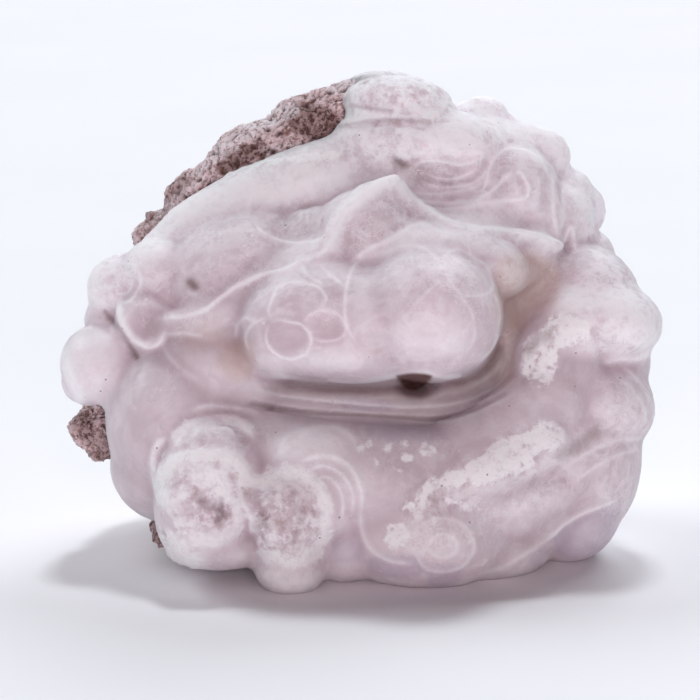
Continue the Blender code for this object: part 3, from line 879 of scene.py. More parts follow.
    HOLLOWS = (
        Hollow(8.6, 41.4, 4.6, 2.7, 1.7),
        Hollow(-6.4, 37.2, 3.4, 1.7, 1.3, 6),
        Hollow(-21.6, 27.8, 2.3, 2.3, 2.0),
        Hollow(17.0, 31.0, 3.2, 4.6, 1.3, -10),
        Hollow(5.7, 21.4, 2.4, 1.2, 4.0),
        Hollow(-16.7, 31.5, 0.6, 0.6, 0.5),
        Hollow(-15.2, 9.4, 3.4, 3.4, 1.9),
        Hollow(-14.8, 8.6, 1.5, 1.5, 0.8),
        Hollow(-7.0, 8.2, 2.9, 3.6, 1.7),
        Hollow(-15.5, 15.2, 2.8, 1.4, 0.8),
        Hollow(-9.8, 8.2, 0.8, 1.3, 1.0),
        Hollow(0.3, 37.0, 4.2, 2.6, 0.5, -28),
    )
    LINES = (
        Line(track(252, 376, 268, 381, 290, 384, 330, 388, 375, 389, 400, 387, 430, 385, 462, 381, 486, 368,
            499, 348, 500, 322), 0.5, -1.1, 0.0, SWELL),
        Line(track(160, 319, 172, 317, 185, 316, 205, 310, 222, 297, 235, 287, 250, 280, 268, 273, 285, 270,
            300, 262, 315, 256, 325, 250, 333, 238), 0.17, 0.17, 0.95, BLADE),
        Line(track(329, 246, 334, 232, 339, 219, 346, 208, 356, 201, 366, 194, 376, 185, 386, 179, 396, 177,
            403, 181, 407, 190), 0.34, 0.2, 0.85),
        Line(track(407, 190, 413, 197, 420, 203, 428, 210, 437, 216, 448, 221, 462, 225, 480, 227, 497, 228,
            512, 230, 528, 232, 543, 236, 557, 243), 0.2, 0.17, 0.9, BLADE),
        Line(track(352, 262, 362, 253, 375, 246, 388, 240, 400, 234, 410, 227, 420, 224, 434, 226), 0.25,
            0.15, 0.6),
        Line(track(364, 256, 353, 268, 347, 285, 345, 310, 347, 326, 355, 342), 0.15, 0.1, 0.5),
        Line(track(378, 256, 392, 249, 406, 245, 420, 247, 430, 252, 438, 260, 441, 270, 441, 282), 0.15,
            0.05, 0.25),
        Line(track(409, 310, 420, 299, 431, 289, 441, 282, 452, 289, 462, 299, 470, 310, 474, 322, 474, 338,
            465, 356), 0.15, 0.05, 0.2),
        Line(track(444, 271, 444, 256, 455, 250, 466, 253, 476, 259, 485, 266, 490, 275, 492, 289, 476, 296,
            458, 292, 444, 271), 0.15, 0.07, 0.35),
        Line(track(492, 289, 498, 305, 499, 321, 494, 345, 476, 366), 0.15, 0.06, 0.35),
        Line(track(320, 264, 330, 275, 344, 285), 0.15, 0.08, 0.5),
        Line(track(300, 262, 308, 275, 322, 284), 0.15, 0.06, 0.35),
        Line(track(253, 222, 262, 232, 275, 239, 288, 242, 302, 243, 318, 240, 328, 234), 0.15, 0.15, 0.6,
            BLADE),
        Line(track(206, 216, 228, 215, 250, 218, 275, 219, 300, 217, 320, 212, 336, 205), 0.5, -0.21, 0.0),
        Line(track(414, 164, 426, 160, 444, 161, 460, 164, 478, 160), 0.22, 0.2, 0.5),
        Line(track(425, 172, 438, 178, 452, 179, 464, 176, 477, 168), 0.15, 0.17, 0.5, BLADE),
        Line(track(421, 182, 438, 187, 455, 187, 471, 184, 482, 177, 488, 166), 0.15, 0.17, 0.55, BLADE),
        Line(track(409, 190, 425, 194, 445, 193, 462, 191, 475, 187, 485, 180), 0.15, 0.15, 0.45, BLADE),
        Line(track(413, 199, 430, 202, 450, 203, 468, 202, 483, 197, 495, 188, 505, 178, 514, 172), 0.19,
            0.17, 0.7, BLADE),
        Line(track(420, 206, 440, 209, 460, 208, 480, 204, 502, 201, 526, 199), 0.19, 0.12, 0.5, BLADE),
        Line(track(480, 196, 486, 184, 489, 170, 493, 160, 500, 153, 510, 150, 522, 151, 532, 155, 542, 163,
            548, 173), 0.22, 0.23, 0.6),
        Line(track(514, 172, 521, 173, 526, 181, 529, 190, 526, 199), 0.15, 0.15, 0.5, BLADE),
        Line(track(544, 168, 546, 190, 547, 210, 549, 228), 0.3, -0.21, 0.0),
        Line(track(551, 172, 553, 195, 554, 215, 558, 238), 0.22, 0.15, 0.45),
        Line(track(563, 190, 563, 210, 561, 230), 0.19, 0.12, 0.4),
        Line(track(341, 128, 352, 127, 365, 124, 380, 121, 400, 122, 418, 122, 432, 123, 441, 118, 447, 108,
            451, 99), 0.3, -0.7, 0.0, step=0.6),
        Line(track(380, 92, 395, 97, 410, 102, 424, 103), 0.3, -0.21, 0.0),
        Line(track(350, 104, 358, 108, 368, 107, 380, 110, 394, 110), 0.25, -0.2, 0.0),
        Line(track(405, 91, 414, 96, 425, 101), 0.2, -0.15, 0.0),
        Line(track(396, 160, 408, 163, 425, 158, 445, 158, 462, 160, 480, 157), 0.4, -0.35, 0.0),
        Line(track(253, 369, 262, 374, 285, 377, 310, 379, 335, 381, 360, 382, 380, 379, 400, 375, 425, 373,
            448, 377, 470, 373, 484, 361), 0.25, 0.12, 0.45),
        Line(track(269, 324, 274, 321, 281, 320, 291, 322, 300, 324, 307, 330, 311, 338, 310, 346, 305, 354,
            293, 359, 282, 357, 274, 352, 268, 345, 266, 335, 269, 324), 0.15, 0.07, 0.4),
        Line(track(305, 322, 308, 316, 315, 312, 325, 310, 336, 313, 343, 319, 346, 328, 343, 336, 334, 340,
            322, 341, 311, 338), 0.15, 0.07, 0.35),
        Line(track(272, 320, 269, 311, 272, 301, 277, 289, 286, 284, 295, 282, 305, 283, 315, 286, 323, 292,
            326, 300, 320, 309), 0.15, 0.07, 0.45),
        Line(track(250, 352, 246, 340, 248, 330, 256, 322, 267, 318), 0.15, 0.06, 0.3),
        Line(track(236, 340, 238, 325, 247, 318, 257, 324), 0.22, 0.1, 0.35),
        Line(track(121, 296, 119, 310, 123, 324, 130, 335, 139, 343, 149, 347, 159, 343, 166, 331), 0.25,
            0.25, 0.8),
        Line(track(107, 283, 112, 270, 122, 263, 134, 266, 141, 280, 136, 295, 124, 303, 112, 297,
            107, 283), 0.19, 0.1, 0.35),
        Line(track(116, 285, 120, 275, 128, 274, 132, 284, 127, 293, 118, 293, 116, 285), 0.15, 0.07, 0.4),
        Line(track(103, 310, 115, 322, 128, 340, 137, 357, 135, 374, 125, 390, 113, 402), 0.35, -0.24, 0.0),
        Line(track(160, 345, 172, 360, 184, 371, 198, 380), 0.25, 0.07, 0.25),
        Line(track(163, 335, 182, 333, 203, 336), 0.22, 0.07, 0.3),
        Line(track(256, 389, 280, 395, 310, 399, 350, 403, 385, 406, 420, 407, 455, 403, 480, 395, 500, 383,
            512, 368), 0.15, 0.17, 0.35, BLADE),
        Line(track(250, 397, 275, 403, 310, 408, 350, 411, 400, 414, 440, 414, 470, 407, 495, 396,
            515, 380), 0.15, 0.17, 0.3, BLADE),
        Line(track(241, 403, 265, 410, 300, 415, 350, 418, 400, 421, 440, 423, 470, 416, 500, 402,
            522, 388), 0.19, 0.2, 0.4, BLADE),
        Line(track(190, 411, 202, 407, 216, 406, 240, 409, 262, 415), 0.25, 0.15, 0.5),
        Line(track(163, 505, 157, 489, 154, 470, 154, 455, 158, 444, 165, 436), 0.3, 0.25, 0.85),
        Line(track(172, 447, 174, 438, 184, 428, 194, 424, 203, 422, 214, 420, 224, 419, 234, 420, 243, 424,
            250, 431, 254, 441), 0.3, 0.28, 0.85),
        Line(track(190, 437, 200, 430, 214, 428, 228, 430, 236, 437), 0.2, 0.15, 0.6),
        Line(track(176, 512, 168, 503, 162, 491, 160, 482, 163, 472, 170, 462, 180, 457, 191, 455, 202, 456,
            212, 453, 226, 457, 235, 459, 242, 466, 246, 474, 252, 480, 262, 481, 270, 476, 280, 472,
            292, 470, 303, 473, 311, 478, 319, 486, 324, 494, 327, 505, 327, 518, 325, 532, 322, 545), 0.4,
            0.34, 0.9),
        Line(track(322, 545, 317, 552, 309, 558, 298, 561, 288, 563, 277, 561, 268, 556, 259, 549), 0.35,
            0.3, 0.85),
        Line(track(200, 480, 210, 475, 220, 479, 225, 487, 229, 496, 235, 506, 239, 518, 236, 530, 226, 537,
            214, 541, 202, 539, 193, 534), 0.4, 0.3, 0.9),
        Line(track(243, 487, 240, 498, 246, 508, 252, 520, 252, 535), 0.3, 0.22, 0.7),
        Line(track(238, 486, 250, 482, 262, 482, 274, 477), 0.31, 0.15, 0.8),
        Line(track(300, 461, 325, 455, 348, 465, 360, 486, 362, 512), 0.22, 0.15, 0.45),
        Line(track(306, 470, 325, 466, 342, 475, 352, 491, 353, 514), 0.19, 0.12, 0.4),
        Line(track(312, 481, 326, 477, 338, 486, 343, 501, 342, 520), 0.19, 0.1, 0.35),
        Line(track(278, 455, 290, 440, 310, 430, 335, 428, 352, 437, 358, 450), 0.31, 0.12, 0.4),
        Line(track(360, 505, 362, 530, 371, 549, 388, 560, 412, 564), 0.25, 0.12, 0.4),
        Line(track(410, 545, 416, 530, 430, 521, 447, 519, 465, 527, 474, 546, 465, 564, 446, 571, 425, 567,
            410, 545), 0.22, 0.1, 0.35),
        Line(track(428, 546, 434, 537, 446, 534, 457, 542, 455, 553, 444, 558, 432, 554, 428, 546), 0.19,
            0.07, 0.35),
        Line(track(480, 575, 505, 566, 528, 552, 546, 540, 562, 526), 0.22, 0.1, 0.35),
        Line(track(548, 540, 562, 526, 584, 513, 604, 505, 620, 498), 0.19, 0.15, 0.5),
        Line(track(575, 482, 600, 463, 628, 451, 641, 448), 0.22, 0.1, 0.35),
        Line(track(560, 470, 590, 451, 618, 440, 642, 438), 0.22, 0.1, 0.35),
        Line(track(622, 366, 638, 380, 650, 400, 654, 420, 646, 440), 0.19, 0.1, 0.45),
        Line(track(618, 378, 632, 390, 643, 406, 646, 424), 0.19, 0.07, 0.35),
        Line(track(602, 363, 620, 359, 638, 358, 651, 352), 0.31, 0.17, 0.6),
        Line(track(604, 371, 622, 367, 640, 367, 648, 366), 0.45, -0.28, 0.0),
        Line(track(567, 311, 557, 324, 549, 338, 540, 352, 530, 368, 523, 385), 0.35, -0.35, 0.0),
        Line(track(562, 245, 566, 236, 571, 227, 574, 238, 576, 252), 0.19, 0.1, 0.6, BLADE),
    )
    MARKS = (
        Mark(FROST, track(140, 235, 200, 180, 262, 165, 345, 155, 345, 178, 262, 186, 200, 205, 150, 250),
            0.7, 14),
        Mark(FROST, track(345, 120, 450, 100, 560, 130, 600, 200, 600, 245, 570, 180, 545, 145, 470, 150,
            400, 160, 350, 165), 0.6, 20),
        Mark(FROST, track(560, 300, 600, 260, 640, 280, 665, 320, 650, 350, 600, 355, 560, 340), 0.8, 16),
        Mark(FROST, track(400, 520, 500, 440, 565, 420, 600, 430, 570, 490, 500, 530, 420, 560), 0.4, 24),
        Mark(FROST, track(90, 250, 130, 240, 140, 262, 110, 310, 88, 300), 0.6, 12),
        Mark(CLEAR, track(110, 430, 140, 420, 158, 450, 154, 500, 125, 510, 108, 470), 0.4, 14),
        Mark(FROST, track(600, 380, 655, 380, 655, 430, 620, 520, 600, 500), 0.4, 20),
        # Painted highlight: the bright band along the top of the upper-left roll.
        Mark(CREST, track(150, 248, 172, 222, 205, 200, 235, 188, 270, 183, 310, 179, 346, 176), 0.75,
            wide=16, broken=0.15),
        Mark(CREST, track(380, 184, 396, 180, 404, 188), 0.6, wide=9),
        Mark(CREST, track(300, 262, 320, 262, 342, 272), 0.5, wide=16, broken=0.4),
        Mark(CREST, track(470, 214, 505, 212, 545, 222), 0.6, wide=20, broken=0.2),
        Mark(CREST, track(352, 478, 330, 452, 300, 448), 0.35, wide=26, broken=0.3),
        Mark(CREST, track(360, 300, 380, 262, 420, 246, 450, 240), 0.35, wide=14, broken=0.2),
        Mark(CREST, track(190, 212, 240, 198, 300, 192, 340, 188), 0.5, wide=14, broken=0.3),
        Mark(CREST, track(80, 345, 100, 340, 118, 360, 112, 390), 0.45, wide=24, broken=0.2),
        Mark(CREST, track(350, 360, 300, 366, 262, 362), 0.4, wide=10, broken=0.3),
        Mark(CREST, track(334, 246, 342, 222, 354, 206, 372, 194), 0.45, wide=8),
        Mark(CREST, track(360, 262, 385, 250, 410, 238, 440, 232), 0.35, wide=12),
        Mark(CREST, track(432, 142, 455, 138, 478, 146), 0.6, wide=11, broken=0.2),
        Mark(CREST, track(455, 118, 495, 122, 535, 128, 556, 150, 574, 178, 588, 215), 0.55, wide=16),
        # Painted light: the paler lower half of the dome, lit from the floor below.
        Mark(CREST, track(398, 340, 425, 346, 452, 340), 0.4, wide=18),
        Mark(CREST, track(285, 446, 310, 436, 338, 438), 0.7, wide=14),
        Mark(CREST, track(560, 300, 600, 300, 640, 318, 650, 338), 0.65, wide=20, broken=0.1),
        Mark(CREST, track(470, 520, 510, 508, 555, 494), 0.45, wide=14, broken=0.2),
        # Painted light: a pale strip along the left edge of the bulb, where light from behind shows
        # through.
        Mark(CREST, track(64, 352, 70, 375, 80, 398), 0.8, wide=7, broken=0.1),
        Mark(CREST, track(92, 262, 88, 285, 96, 300), 0.6, wide=12),
        Mark(CREST, track(270, 575, 290, 588, 312, 584), 0.5, wide=10),
        Mark(CREST, track(190, 292, 196, 294), 0.7, wide=3),
        Mark(CREST, track(604, 404, 612, 396, 634, 400), 0.3, wide=10, broken=0.2),
        Mark(CHALK, track(380, 92, 400, 84, 436, 88, 446, 98, 430, 116, 395, 110), 0.45, 12, broken=0.5),
        Mark(CREST, track(344, 118, 360, 118, 390, 114, 424, 116, 440, 104), 0.7, wide=10, broken=0.25),
        Mark(CHALK, track(150, 232, 178, 200, 205, 178, 238, 176, 262, 168, 300, 163, 345, 158, 350, 150,
            300, 154, 255, 160, 215, 170, 185, 186, 160, 206, 145, 226), 0.85, 6, broken=0.45),
        Mark(CRUMB, track(164, 490, 164, 474, 176, 462, 205, 458, 228, 460, 246, 480, 252, 500, 246, 525,
            236, 538, 200, 545, 176, 530), 0.85, 8),
        Mark(CRUMB, track(260, 487, 275, 477, 294, 473, 316, 488, 324, 515, 320, 545, 302, 560, 276, 560,
            258, 545, 252, 515), 0.8, 8),
        Mark(CRUMB, track(176, 442, 200, 426, 236, 424, 250, 440, 240, 456, 192, 454), 0.45, 8),
        Mark(CRUMB, track(158, 528, 178, 538, 198, 556, 190, 572, 170, 566), 0.75, 8),
        Mark(CRUMB, track(152, 450, 162, 440, 168, 480, 170, 510, 160, 516, 152, 480), 0.5, 6),
        Mark(CRUMB, track(262, 564, 300, 566, 322, 556, 320, 580, 290, 590, 262, 580), 0.2, 10),
        Mark(CREST, track(196, 476, 210, 478, 220, 486, 224, 496), 0.9, wide=12, broken=0.3),
        Mark(CHALK, track(163, 492, 163, 474, 178, 460, 205, 456, 228, 459, 244, 472, 252, 481, 264, 481,
            280, 475, 300, 475, 318, 488, 326, 505), 0.9, wide=9, broken=0.35),
        Mark(CHALK, track(198, 480, 212, 478, 222, 486, 228, 498), 0.9, wide=13, broken=0.4),
        Mark(CHALK, track(168, 540, 180, 552, 192, 562), 0.85, wide=13, broken=0.4),
        Mark(CHALK, track(262, 552, 285, 562, 308, 557, 322, 540, 326, 520), 0.85, wide=9, broken=0.35),
        Mark(CHALK, track(176, 440, 186, 428, 204, 422, 226, 420, 246, 428), 0.7, wide=8, broken=0.35),
        Mark(CHALK, track(342, 118, 372, 119, 405, 117, 432, 119, 446, 104), 0.8, wide=9, broken=0.4),
        Mark(CREST, track(226, 458, 242, 468, 250, 480, 264, 484, 280, 478, 300, 478), 0.9, wide=11,
            broken=0.2),
        Mark(CREST, track(163, 500, 164, 478, 178, 462, 205, 457), 0.8, wide=8, broken=0.15),
        Mark(CREST, track(172, 545, 184, 556, 196, 564), 0.9, wide=14, broken=0.3),
        Mark(CREST, track(200, 536, 220, 538, 236, 528), 0.7, wide=9, broken=0.2),
        Mark(CREST, track(262, 556, 290, 563, 318, 550, 326, 520, 318, 488), 0.6, wide=9, broken=0.2),
        Mark(CREST, track(178, 438, 200, 424, 228, 420, 246, 428), 0.7, wide=8, broken=0.2),
        Mark(CLEAR, track(243, 503, 262, 500, 270, 520, 262, 538, 250, 530), 0.6, 6),
        Mark(CRUMB, track(342, 84, 365, 74, 410, 72, 440, 84, 450, 94, 445, 108, 430, 120, 380, 118,
            342, 116), 0.55, 12),
        Mark(CRUMB, track(404, 512, 406, 494, 425, 478, 450, 468, 486, 452, 500, 438, 522, 428, 560, 428,
            562, 446, 540, 462, 528, 476, 500, 480, 470, 487, 442, 502, 420, 514), 0.5, 16),
        Mark(CRUMB, track(525, 365, 524, 344, 540, 326, 556, 312, 580, 316, 592, 330, 580, 346, 560, 350,
            556, 370, 545, 388, 530, 380), 0.5, 12),
        Mark(CHALK, track(400, 511, 404, 500, 420, 494, 423, 481, 449, 471, 481, 454, 496, 440, 524, 431,
            541, 420, 560, 424, 565, 438, 558, 450, 541, 454, 533, 467, 524, 474, 503, 478, 484, 487,
            460, 487, 436, 490, 424, 508), 0.95, 9, broken=0.45),
        Mark(CHALK, track(382, 540, 388, 524, 402, 522, 412, 534, 404, 546, 390, 548), 0.9, 12, broken=0.4),
        Mark(CHALK, track(520, 365, 522, 344, 540, 326, 556, 312, 580, 316, 592, 330, 580, 346, 560, 350,
            556, 370, 545, 388, 530, 380), 0.9, 14, broken=0.5),
        Mark(CHALK, track(400, 502, 430, 512, 470, 530, 478, 545, 440, 540, 400, 520), 0.4, 16, broken=0.3),
        Mark(CHALK, track(447, 501, 460, 505, 477, 508), 0.85, wide=6, broken=0.3),
        Mark(CHALK, track(482, 516, 510, 508, 540, 497, 554, 490), 0.4, wide=9, broken=0.3),
        Mark(CHALK, track(360, 449, 367, 443, 369, 442), 1.0, wide=4.5),
        Mark(CHALK, track(386, 449, 388, 447), 1.0, wide=3.8),
        Mark(CHALK, track(403, 441, 406, 444), 1.0, wide=3.5),
        Mark(CHALK, track(403, 458, 413, 456), 1.0, wide=3.8),
        Mark(CHALK, track(422, 448, 426, 444, 434, 449), 1.0, wide=3.8),
        Mark(CHALK, track(423, 454, 430, 455), 0.9, wide=2.6),
        Mark(CHALK, track(376, 460, 379, 463), 0.8, wide=3.2),
        Mark(CHALK, track(393, 468, 401, 471), 0.7, wide=3.5),
        Mark(CHALK, track(396, 131, 408, 131), 0.95, wide=4),
        Mark(CHALK, track(244, 481, 262, 482, 276, 477), 0.9, wide=7),
        Mark(CLEAR, track(340, 250, 345, 230, 353, 216, 368, 204, 385, 198, 400, 199, 409, 207, 412, 217,
            405, 228, 394, 237, 380, 243, 365, 250, 350, 260), 0.8, 7),
        Mark(CLEAR, track(122, 300, 140, 292, 158, 298, 164, 318, 158, 336, 144, 340, 130, 330), 0.75, 7),
        Mark(CLEAR, track(262, 322, 284, 315, 304, 320, 306, 345, 288, 352, 266, 346), 0.75, 8),
        Mark(CLEAR, track(314, 318, 328, 313, 341, 320, 342, 340, 325, 348, 313, 340), 0.6, 8),
        Mark(CLEAR, track(278, 308, 280, 296, 298, 294, 301, 310), 0.5, 7),
        Mark(CLEAR, track(312, 290, 318, 278, 336, 280, 342, 298, 325, 306), 0.5, 8),
        Mark(CLEAR, track(236, 345, 238, 322, 252, 320, 256, 345), 0.5, 8),
        Mark(CLEAR, track(455, 268, 472, 258, 488, 270, 490, 292, 470, 300, 456, 288), 0.55, 10),
        Mark(CLEAR, track(474, 306, 494, 308, 495, 345, 476, 350), 0.45, 10),
        Mark(CLEAR, track(492, 172, 498, 156, 522, 154, 542, 168, 540, 178, 518, 168, 500, 178), 0.5, 8),
        Mark(CLEAR, track(494, 198, 502, 182, 518, 176, 526, 190, 524, 204), 0.55, 7),
        Mark(CLEAR, track(410, 188, 412, 170, 430, 168, 450, 176, 455, 186, 430, 186), 0.8, 8),
        Mark(CLEAR, track(262, 218, 300, 220, 335, 210, 322, 232, 300, 240, 275, 236), 0.45, 8),
        Mark(CLEAR, track(200, 222, 250, 222, 290, 248, 270, 268, 226, 290, 200, 300, 180, 270), 0.3, 16),
        Mark(CLEAR, track(540, 165, 550, 165, 553, 225, 544, 230), 0.5, 6),
        Mark(CLEAR, track(560, 225, 572, 228, 576, 265, 566, 292, 558, 262), 0.45, 6),
        Mark(CLEAR, track(350, 275, 400, 262, 440, 280, 450, 320, 400, 320, 352, 310), 0.25, 18),
        Mark(CLEAR, track(640, 385, 652, 408, 644, 430, 632, 405), 0.35, 8),
        Mark(CLEAR, track(392, 359, 393, 360), 0.8, wide=3.5),
        Mark(CLEAR, track(409, 362, 410, 363), 0.8, wide=4),
        Mark(CLEAR, track(421, 364, 422, 363), 0.7, wide=3.5),
        Mark(CLEAR, track(433, 362, 435, 362), 0.8, wide=4),
        Mark(CLEAR, track(447, 360, 448, 359), 0.7, wide=3.5),
        Mark(CLEAR, track(403, 352, 405, 351), 0.6, wide=3.5),
        Mark(CLEAR, track(426, 353, 428, 352), 0.6, wide=3.5),
        Mark(TAN, track(375, 352, 380, 351), 0.5, wide=3),
        Mark(LILAC, track(552, 540, 562, 526, 585, 514, 620, 499, 614, 534, 600, 552, 576, 563, 560, 556),
            0.55, 8),
        Mark(LILAC, track(364, 560, 380, 556, 420, 556, 424, 572, 400, 580, 374, 574), 0.6, 9, broken=0.15),
        Mark(LILAC, track(426, 566, 460, 566, 456, 584, 430, 587), 0.6, 8),
        Mark(LILAC, track(330, 540, 360, 540, 362, 560, 332, 562), 0.5, 9),
        Mark(LILAC, track(366, 424, 400, 424, 438, 428, 446, 440, 400, 442, 368, 438), 0.5, 8),
        Mark(LILAC, track(340, 396, 388, 400, 388, 410, 345, 410), 0.6, 6),
        Mark(LILAC, track(524, 560, 540, 548, 548, 552, 536, 566), 0.5, 7),
        # These tan washes lie in recesses, under the hood's right arm, beside the nose and below the left
        # ridge: partly the stone's brownish tint, partly painted shade.
        Mark(TAN, track(497, 258, 525, 252, 552, 262, 560, 285, 556, 304, 532, 312, 520, 330, 505, 342,
            497, 320, 494, 288), 1.0, 14),
        Mark(TAN, track(222, 346, 250, 340, 253, 372, 236, 380, 218, 366), 0.8, 14),
        Mark(TAN, track(490, 345, 512, 338, 516, 370, 505, 390, 488, 372), 0.6, 12),
        Mark(TAN, track(170, 330, 215, 318, 225, 345, 190, 352), 0.35, 16),
        # Painted shade: the groove under the nose is darkened along its length.
        Mark(STAIN_AND_SHADE, track(290, 388, 330, 390, 375, 391, 420, 392, 460, 389, 488, 376), 0.3, wide=10),
        Mark(STAIN_AND_SHADE, track(262, 386, 330, 388, 390, 386, 440, 384, 476, 374, 498, 344, 506, 360, 490, 392,
            450, 403, 400, 402, 330, 398, 270, 392), 0.36, 8),
        Mark(STAIN_AND_SHADE, track(250, 404, 300, 412, 350, 415, 400, 418, 440, 419, 475, 410, 505, 394), 0.25,
            wide=3),
        # Painted shade: the deep hole in the groove, painted near black.
        Mark(STAIN_AND_SHADE, track(396, 376, 415, 373, 432, 376, 424, 386, 413, 391, 403, 386), 1.0, 4),
        # Painted shade: a dark line along the slab's lower edge, where it overhangs.
        Mark(STAIN_AND_SHADE, track(340, 126, 365, 122, 400, 120, 430, 122), 0.4, wide=3),
        Mark(STAIN_AND_SHADE, track(352, 105, 366, 108, 392, 111), 0.3, wide=3, broken=0.5),
        Mark(STAIN_AND_SHADE, track(348, 82, 362, 78, 378, 80), 0.3, wide=5, broken=0.7),
        Mark(STAIN_AND_SHADE, track(396, 161, 404, 165), 0.6, wide=4),
        Mark(STAIN_AND_SHADE, track(190, 282, 194, 286), 0.7, wide=5),
        Mark(STAIN_AND_SHADE, track(198, 500, 210, 506, 220, 516), 0.32, wide=9, broken=0.75),
        Mark(STAIN_AND_SHADE, track(222, 498, 220, 510), 0.3, wide=5, broken=0.6),
        Mark(STAIN_AND_SHADE, track(262, 516, 268, 528), 0.3, wide=6, broken=0.7),
        Mark(STAIN_AND_SHADE, track(294, 498, 300, 524, 292, 540), 0.2, wide=9, broken=0.75),
        Mark(STAIN_AND_SHADE, track(530, 350, 546, 334, 552, 326), 0.4, wide=8, broken=0.55),
        # Painted shade along the crease at the left.
        Mark(STAIN_AND_SHADE, track(105, 312, 120, 330, 137, 358), 0.4, wide=3, broken=0.3),
        Mark(STAIN_AND_SHADE, track(560, 455, 575, 448, 595, 432), 0.3, wide=8, broken=0.4),
    )

    def skin(self, rock: Skin) -> Skin:
        """The lobes, rolls and back lumps as one skin, with the hollows pressed in.

        Args:
            rock: the rock, before it was weathered.

        Returns:
            The skin, still without the rock's bed, the lines and the colours.
        """
        bm = bmesh.new()
        for lobe in self.LOBES:
            self.yard.lobe(bm, lobe)
        for beads in self.ROLLS:
            self.yard.roll(bm, beads)
        skin = Skin.of_balls("druse_chalcedony", bm, self.drawing)
        bm = bmesh.new()
        bm.from_mesh(skin.mesh)
        for centre, radius in self.lumps(skin, rock):
            self.yard.ball(bm, centre, (radius, radius, radius), detail=4)
        bm.to_mesh(skin.mesh)
        bm.free()
        skin.fuse(self.voxel, self.smoothing)
        skin.dent(self.HOLLOWS)
        skin.ease(10, 0.6, 0.35)
        skin.ease(40, 0.62, 0.1)
        skin.fuse(self.voxel, 1)
        skin.keep_largest()
        return skin

    def lumps(self, skin: Skin, rock: Skin) -> Iterable[tuple[Vector, float]]:
        """The small lumps of the back.

        Args:
            skin: the stone's balls.
            rock: the rock, which no lump comes near.

        Returns:
            Each lump's centre in metres and radius in millimetres.
        """
        tree, rind = skin.tree(), rock.tree()
        middle = self.drawing.place(3.0, 27.0, 3.0)
        back = self.drawing.place(0, 20, 5).y
        golden = math.pi * (3.0 - math.sqrt(5.0))
        for index in range(self.back_lumps):
            up = 1.0 - 2.0 * (index + 0.5) / self.back_lumps
            flat = math.sqrt(1.0 - up * up)
            way = Vector((flat * math.cos(golden * index), flat * math.sin(golden * index), up))
            share = 0.5 + 0.5 * math.sin(2.4 * index)
            radius = self.back_lump_small + (self.back_lump_large - self.back_lump_small) * share
            hit = tree.ray_cast(middle + way * 60.0 * MM, -way)[0]
            if hit is None or hit.y < back:
                continue
            centre = hit - way * radius * self.back_lump_sunk * MM
            if rind.find_nearest(centre)[3] > (radius + 2 * self.bed_gap) * MM:
                yield centre, radius

    def roughen(self, skin: Skin, laid: dict[Channel, np.ndarray]) -> None:
        """Gives chalky places a grain, frosty ones wrinkles, crumbly ones lumps and all a faint wave.

        Args:
            skin: the stone.
            laid: the strength of each channel at each vertex.
        """
        places, normals = skin.places, skin.normals
        spots = places / MM
        lift = (self.wave * noise_over(spots, 2.2, 3, 9.0)
                + laid[CHALK] * self.grain * noise_over(spots, 0.6, 3, 5.0)
                - laid[FROST] * self.wrinkle * np.abs(noise_over(spots * (1.0, 1.0, 1.5), 1.5, 2, 14.0))
                + laid[CRUMB] * self.crumb * noise_over(spots, 1.3, 3, 26.0))
        skin.move_to(places + normals * lift[:, None] * MM)

    def build(self, rock: Skin, bed: Skin) -> bpy.types.Object:
        """The finished piece.

        Args:
            rock: the rock before it was weathered.
            bed: what is cut out of the stone for the rock.

        Returns:
            The piece's object.
        """
        skin = self.skin(rock)
        skin.cut(bed)
        seen = skin.lit_by_eye()
        skin.thin_out(self.coarse_triangles, self.keep_back + self.keep_front * seen)
        skin.refine(self.LINES, self.split_reach, self.split_shortest)
        line = skin.draw(self.LINES)
        seen = skin.lit_by_eye()
        laid = skin.wash(self.MARKS, seen)
        self.colour_rest(skin, laid, seen)
        self.roughen(skin, laid)
        ridge = np.clip(skin.bulge(3) * 9.0, -1.0, 1.0)
        crown = np.clip(skin.bulge(30) * 1.6, -1.0, 1.0)
        broad = np.clip(skin.bulge(160) * 0.7, -1.0, 1.0)
        # Ridges and rounded crowns, found from how far the skin bulges, are made paler: partly the milky
        # rims of the ridges, partly painted highlight on the crowns.
        laid[CREST] = np.clip(laid[CREST] + line + 0.35 * np.maximum(ridge, 0)
                                      + 0.4 * np.maximum(crown, 0), 0.0, 1.0)
        for channel, values in laid.items():
            skin.hold(channel.value, values)
        # Painted shade: hollows of every size, found from how far the skin sinks under its smoothed forms,
        # are darkened.
        low = 0.4 * np.maximum(-ridge, 0) + 0.6 * np.maximum(-crown, 0) + 0.7 * np.maximum(-broad, 0)
        skin.hold("hollow_shade", low)
        skin.rest()
        return skin.obj

    def colour_rest(self, skin: Skin, laid: dict[Channel, np.ndarray], seen: np.ndarray) -> None:
        """Gives the places that the eye doesn't see colours of the same kinds, and the high ones frost.

        Args:
            skin: the stone.
            laid: the strength of each channel at each vertex, which is changed.
            seen: how plainly the eye sees each vertex.
        """
        places = skin.places / MM
        hidden = 1.0 - seen
        big = noise_over(places, 9.0, 2, 21.0)
        mid = noise_over(places, 4.0, 3, 33.0)
        for channel, values in ((CHALK, 0.7 * ramp(big + 0.5 * mid, 0.25, 0.6)),
                                (CLEAR, 0.6 * ramp(-big + 0.3 * mid, 0.2, 0.6)),
                                (FROST, 0.8 * ramp(mid, -0.1, 0.5)),
                                (CREST, 0.4 * ramp(mid - 0.3 * big, 0.2, 0.7))):
            laid[channel] = np.clip(laid[channel] + values * hidden, 0.0, 1.0)
        high = ramp(places[:, 2] + 3.0 * mid, 26.0, 42.0)
        laid[FROST] = np.clip(laid[FROST] + 0.55 * high * seen, 0.0, 1.0)


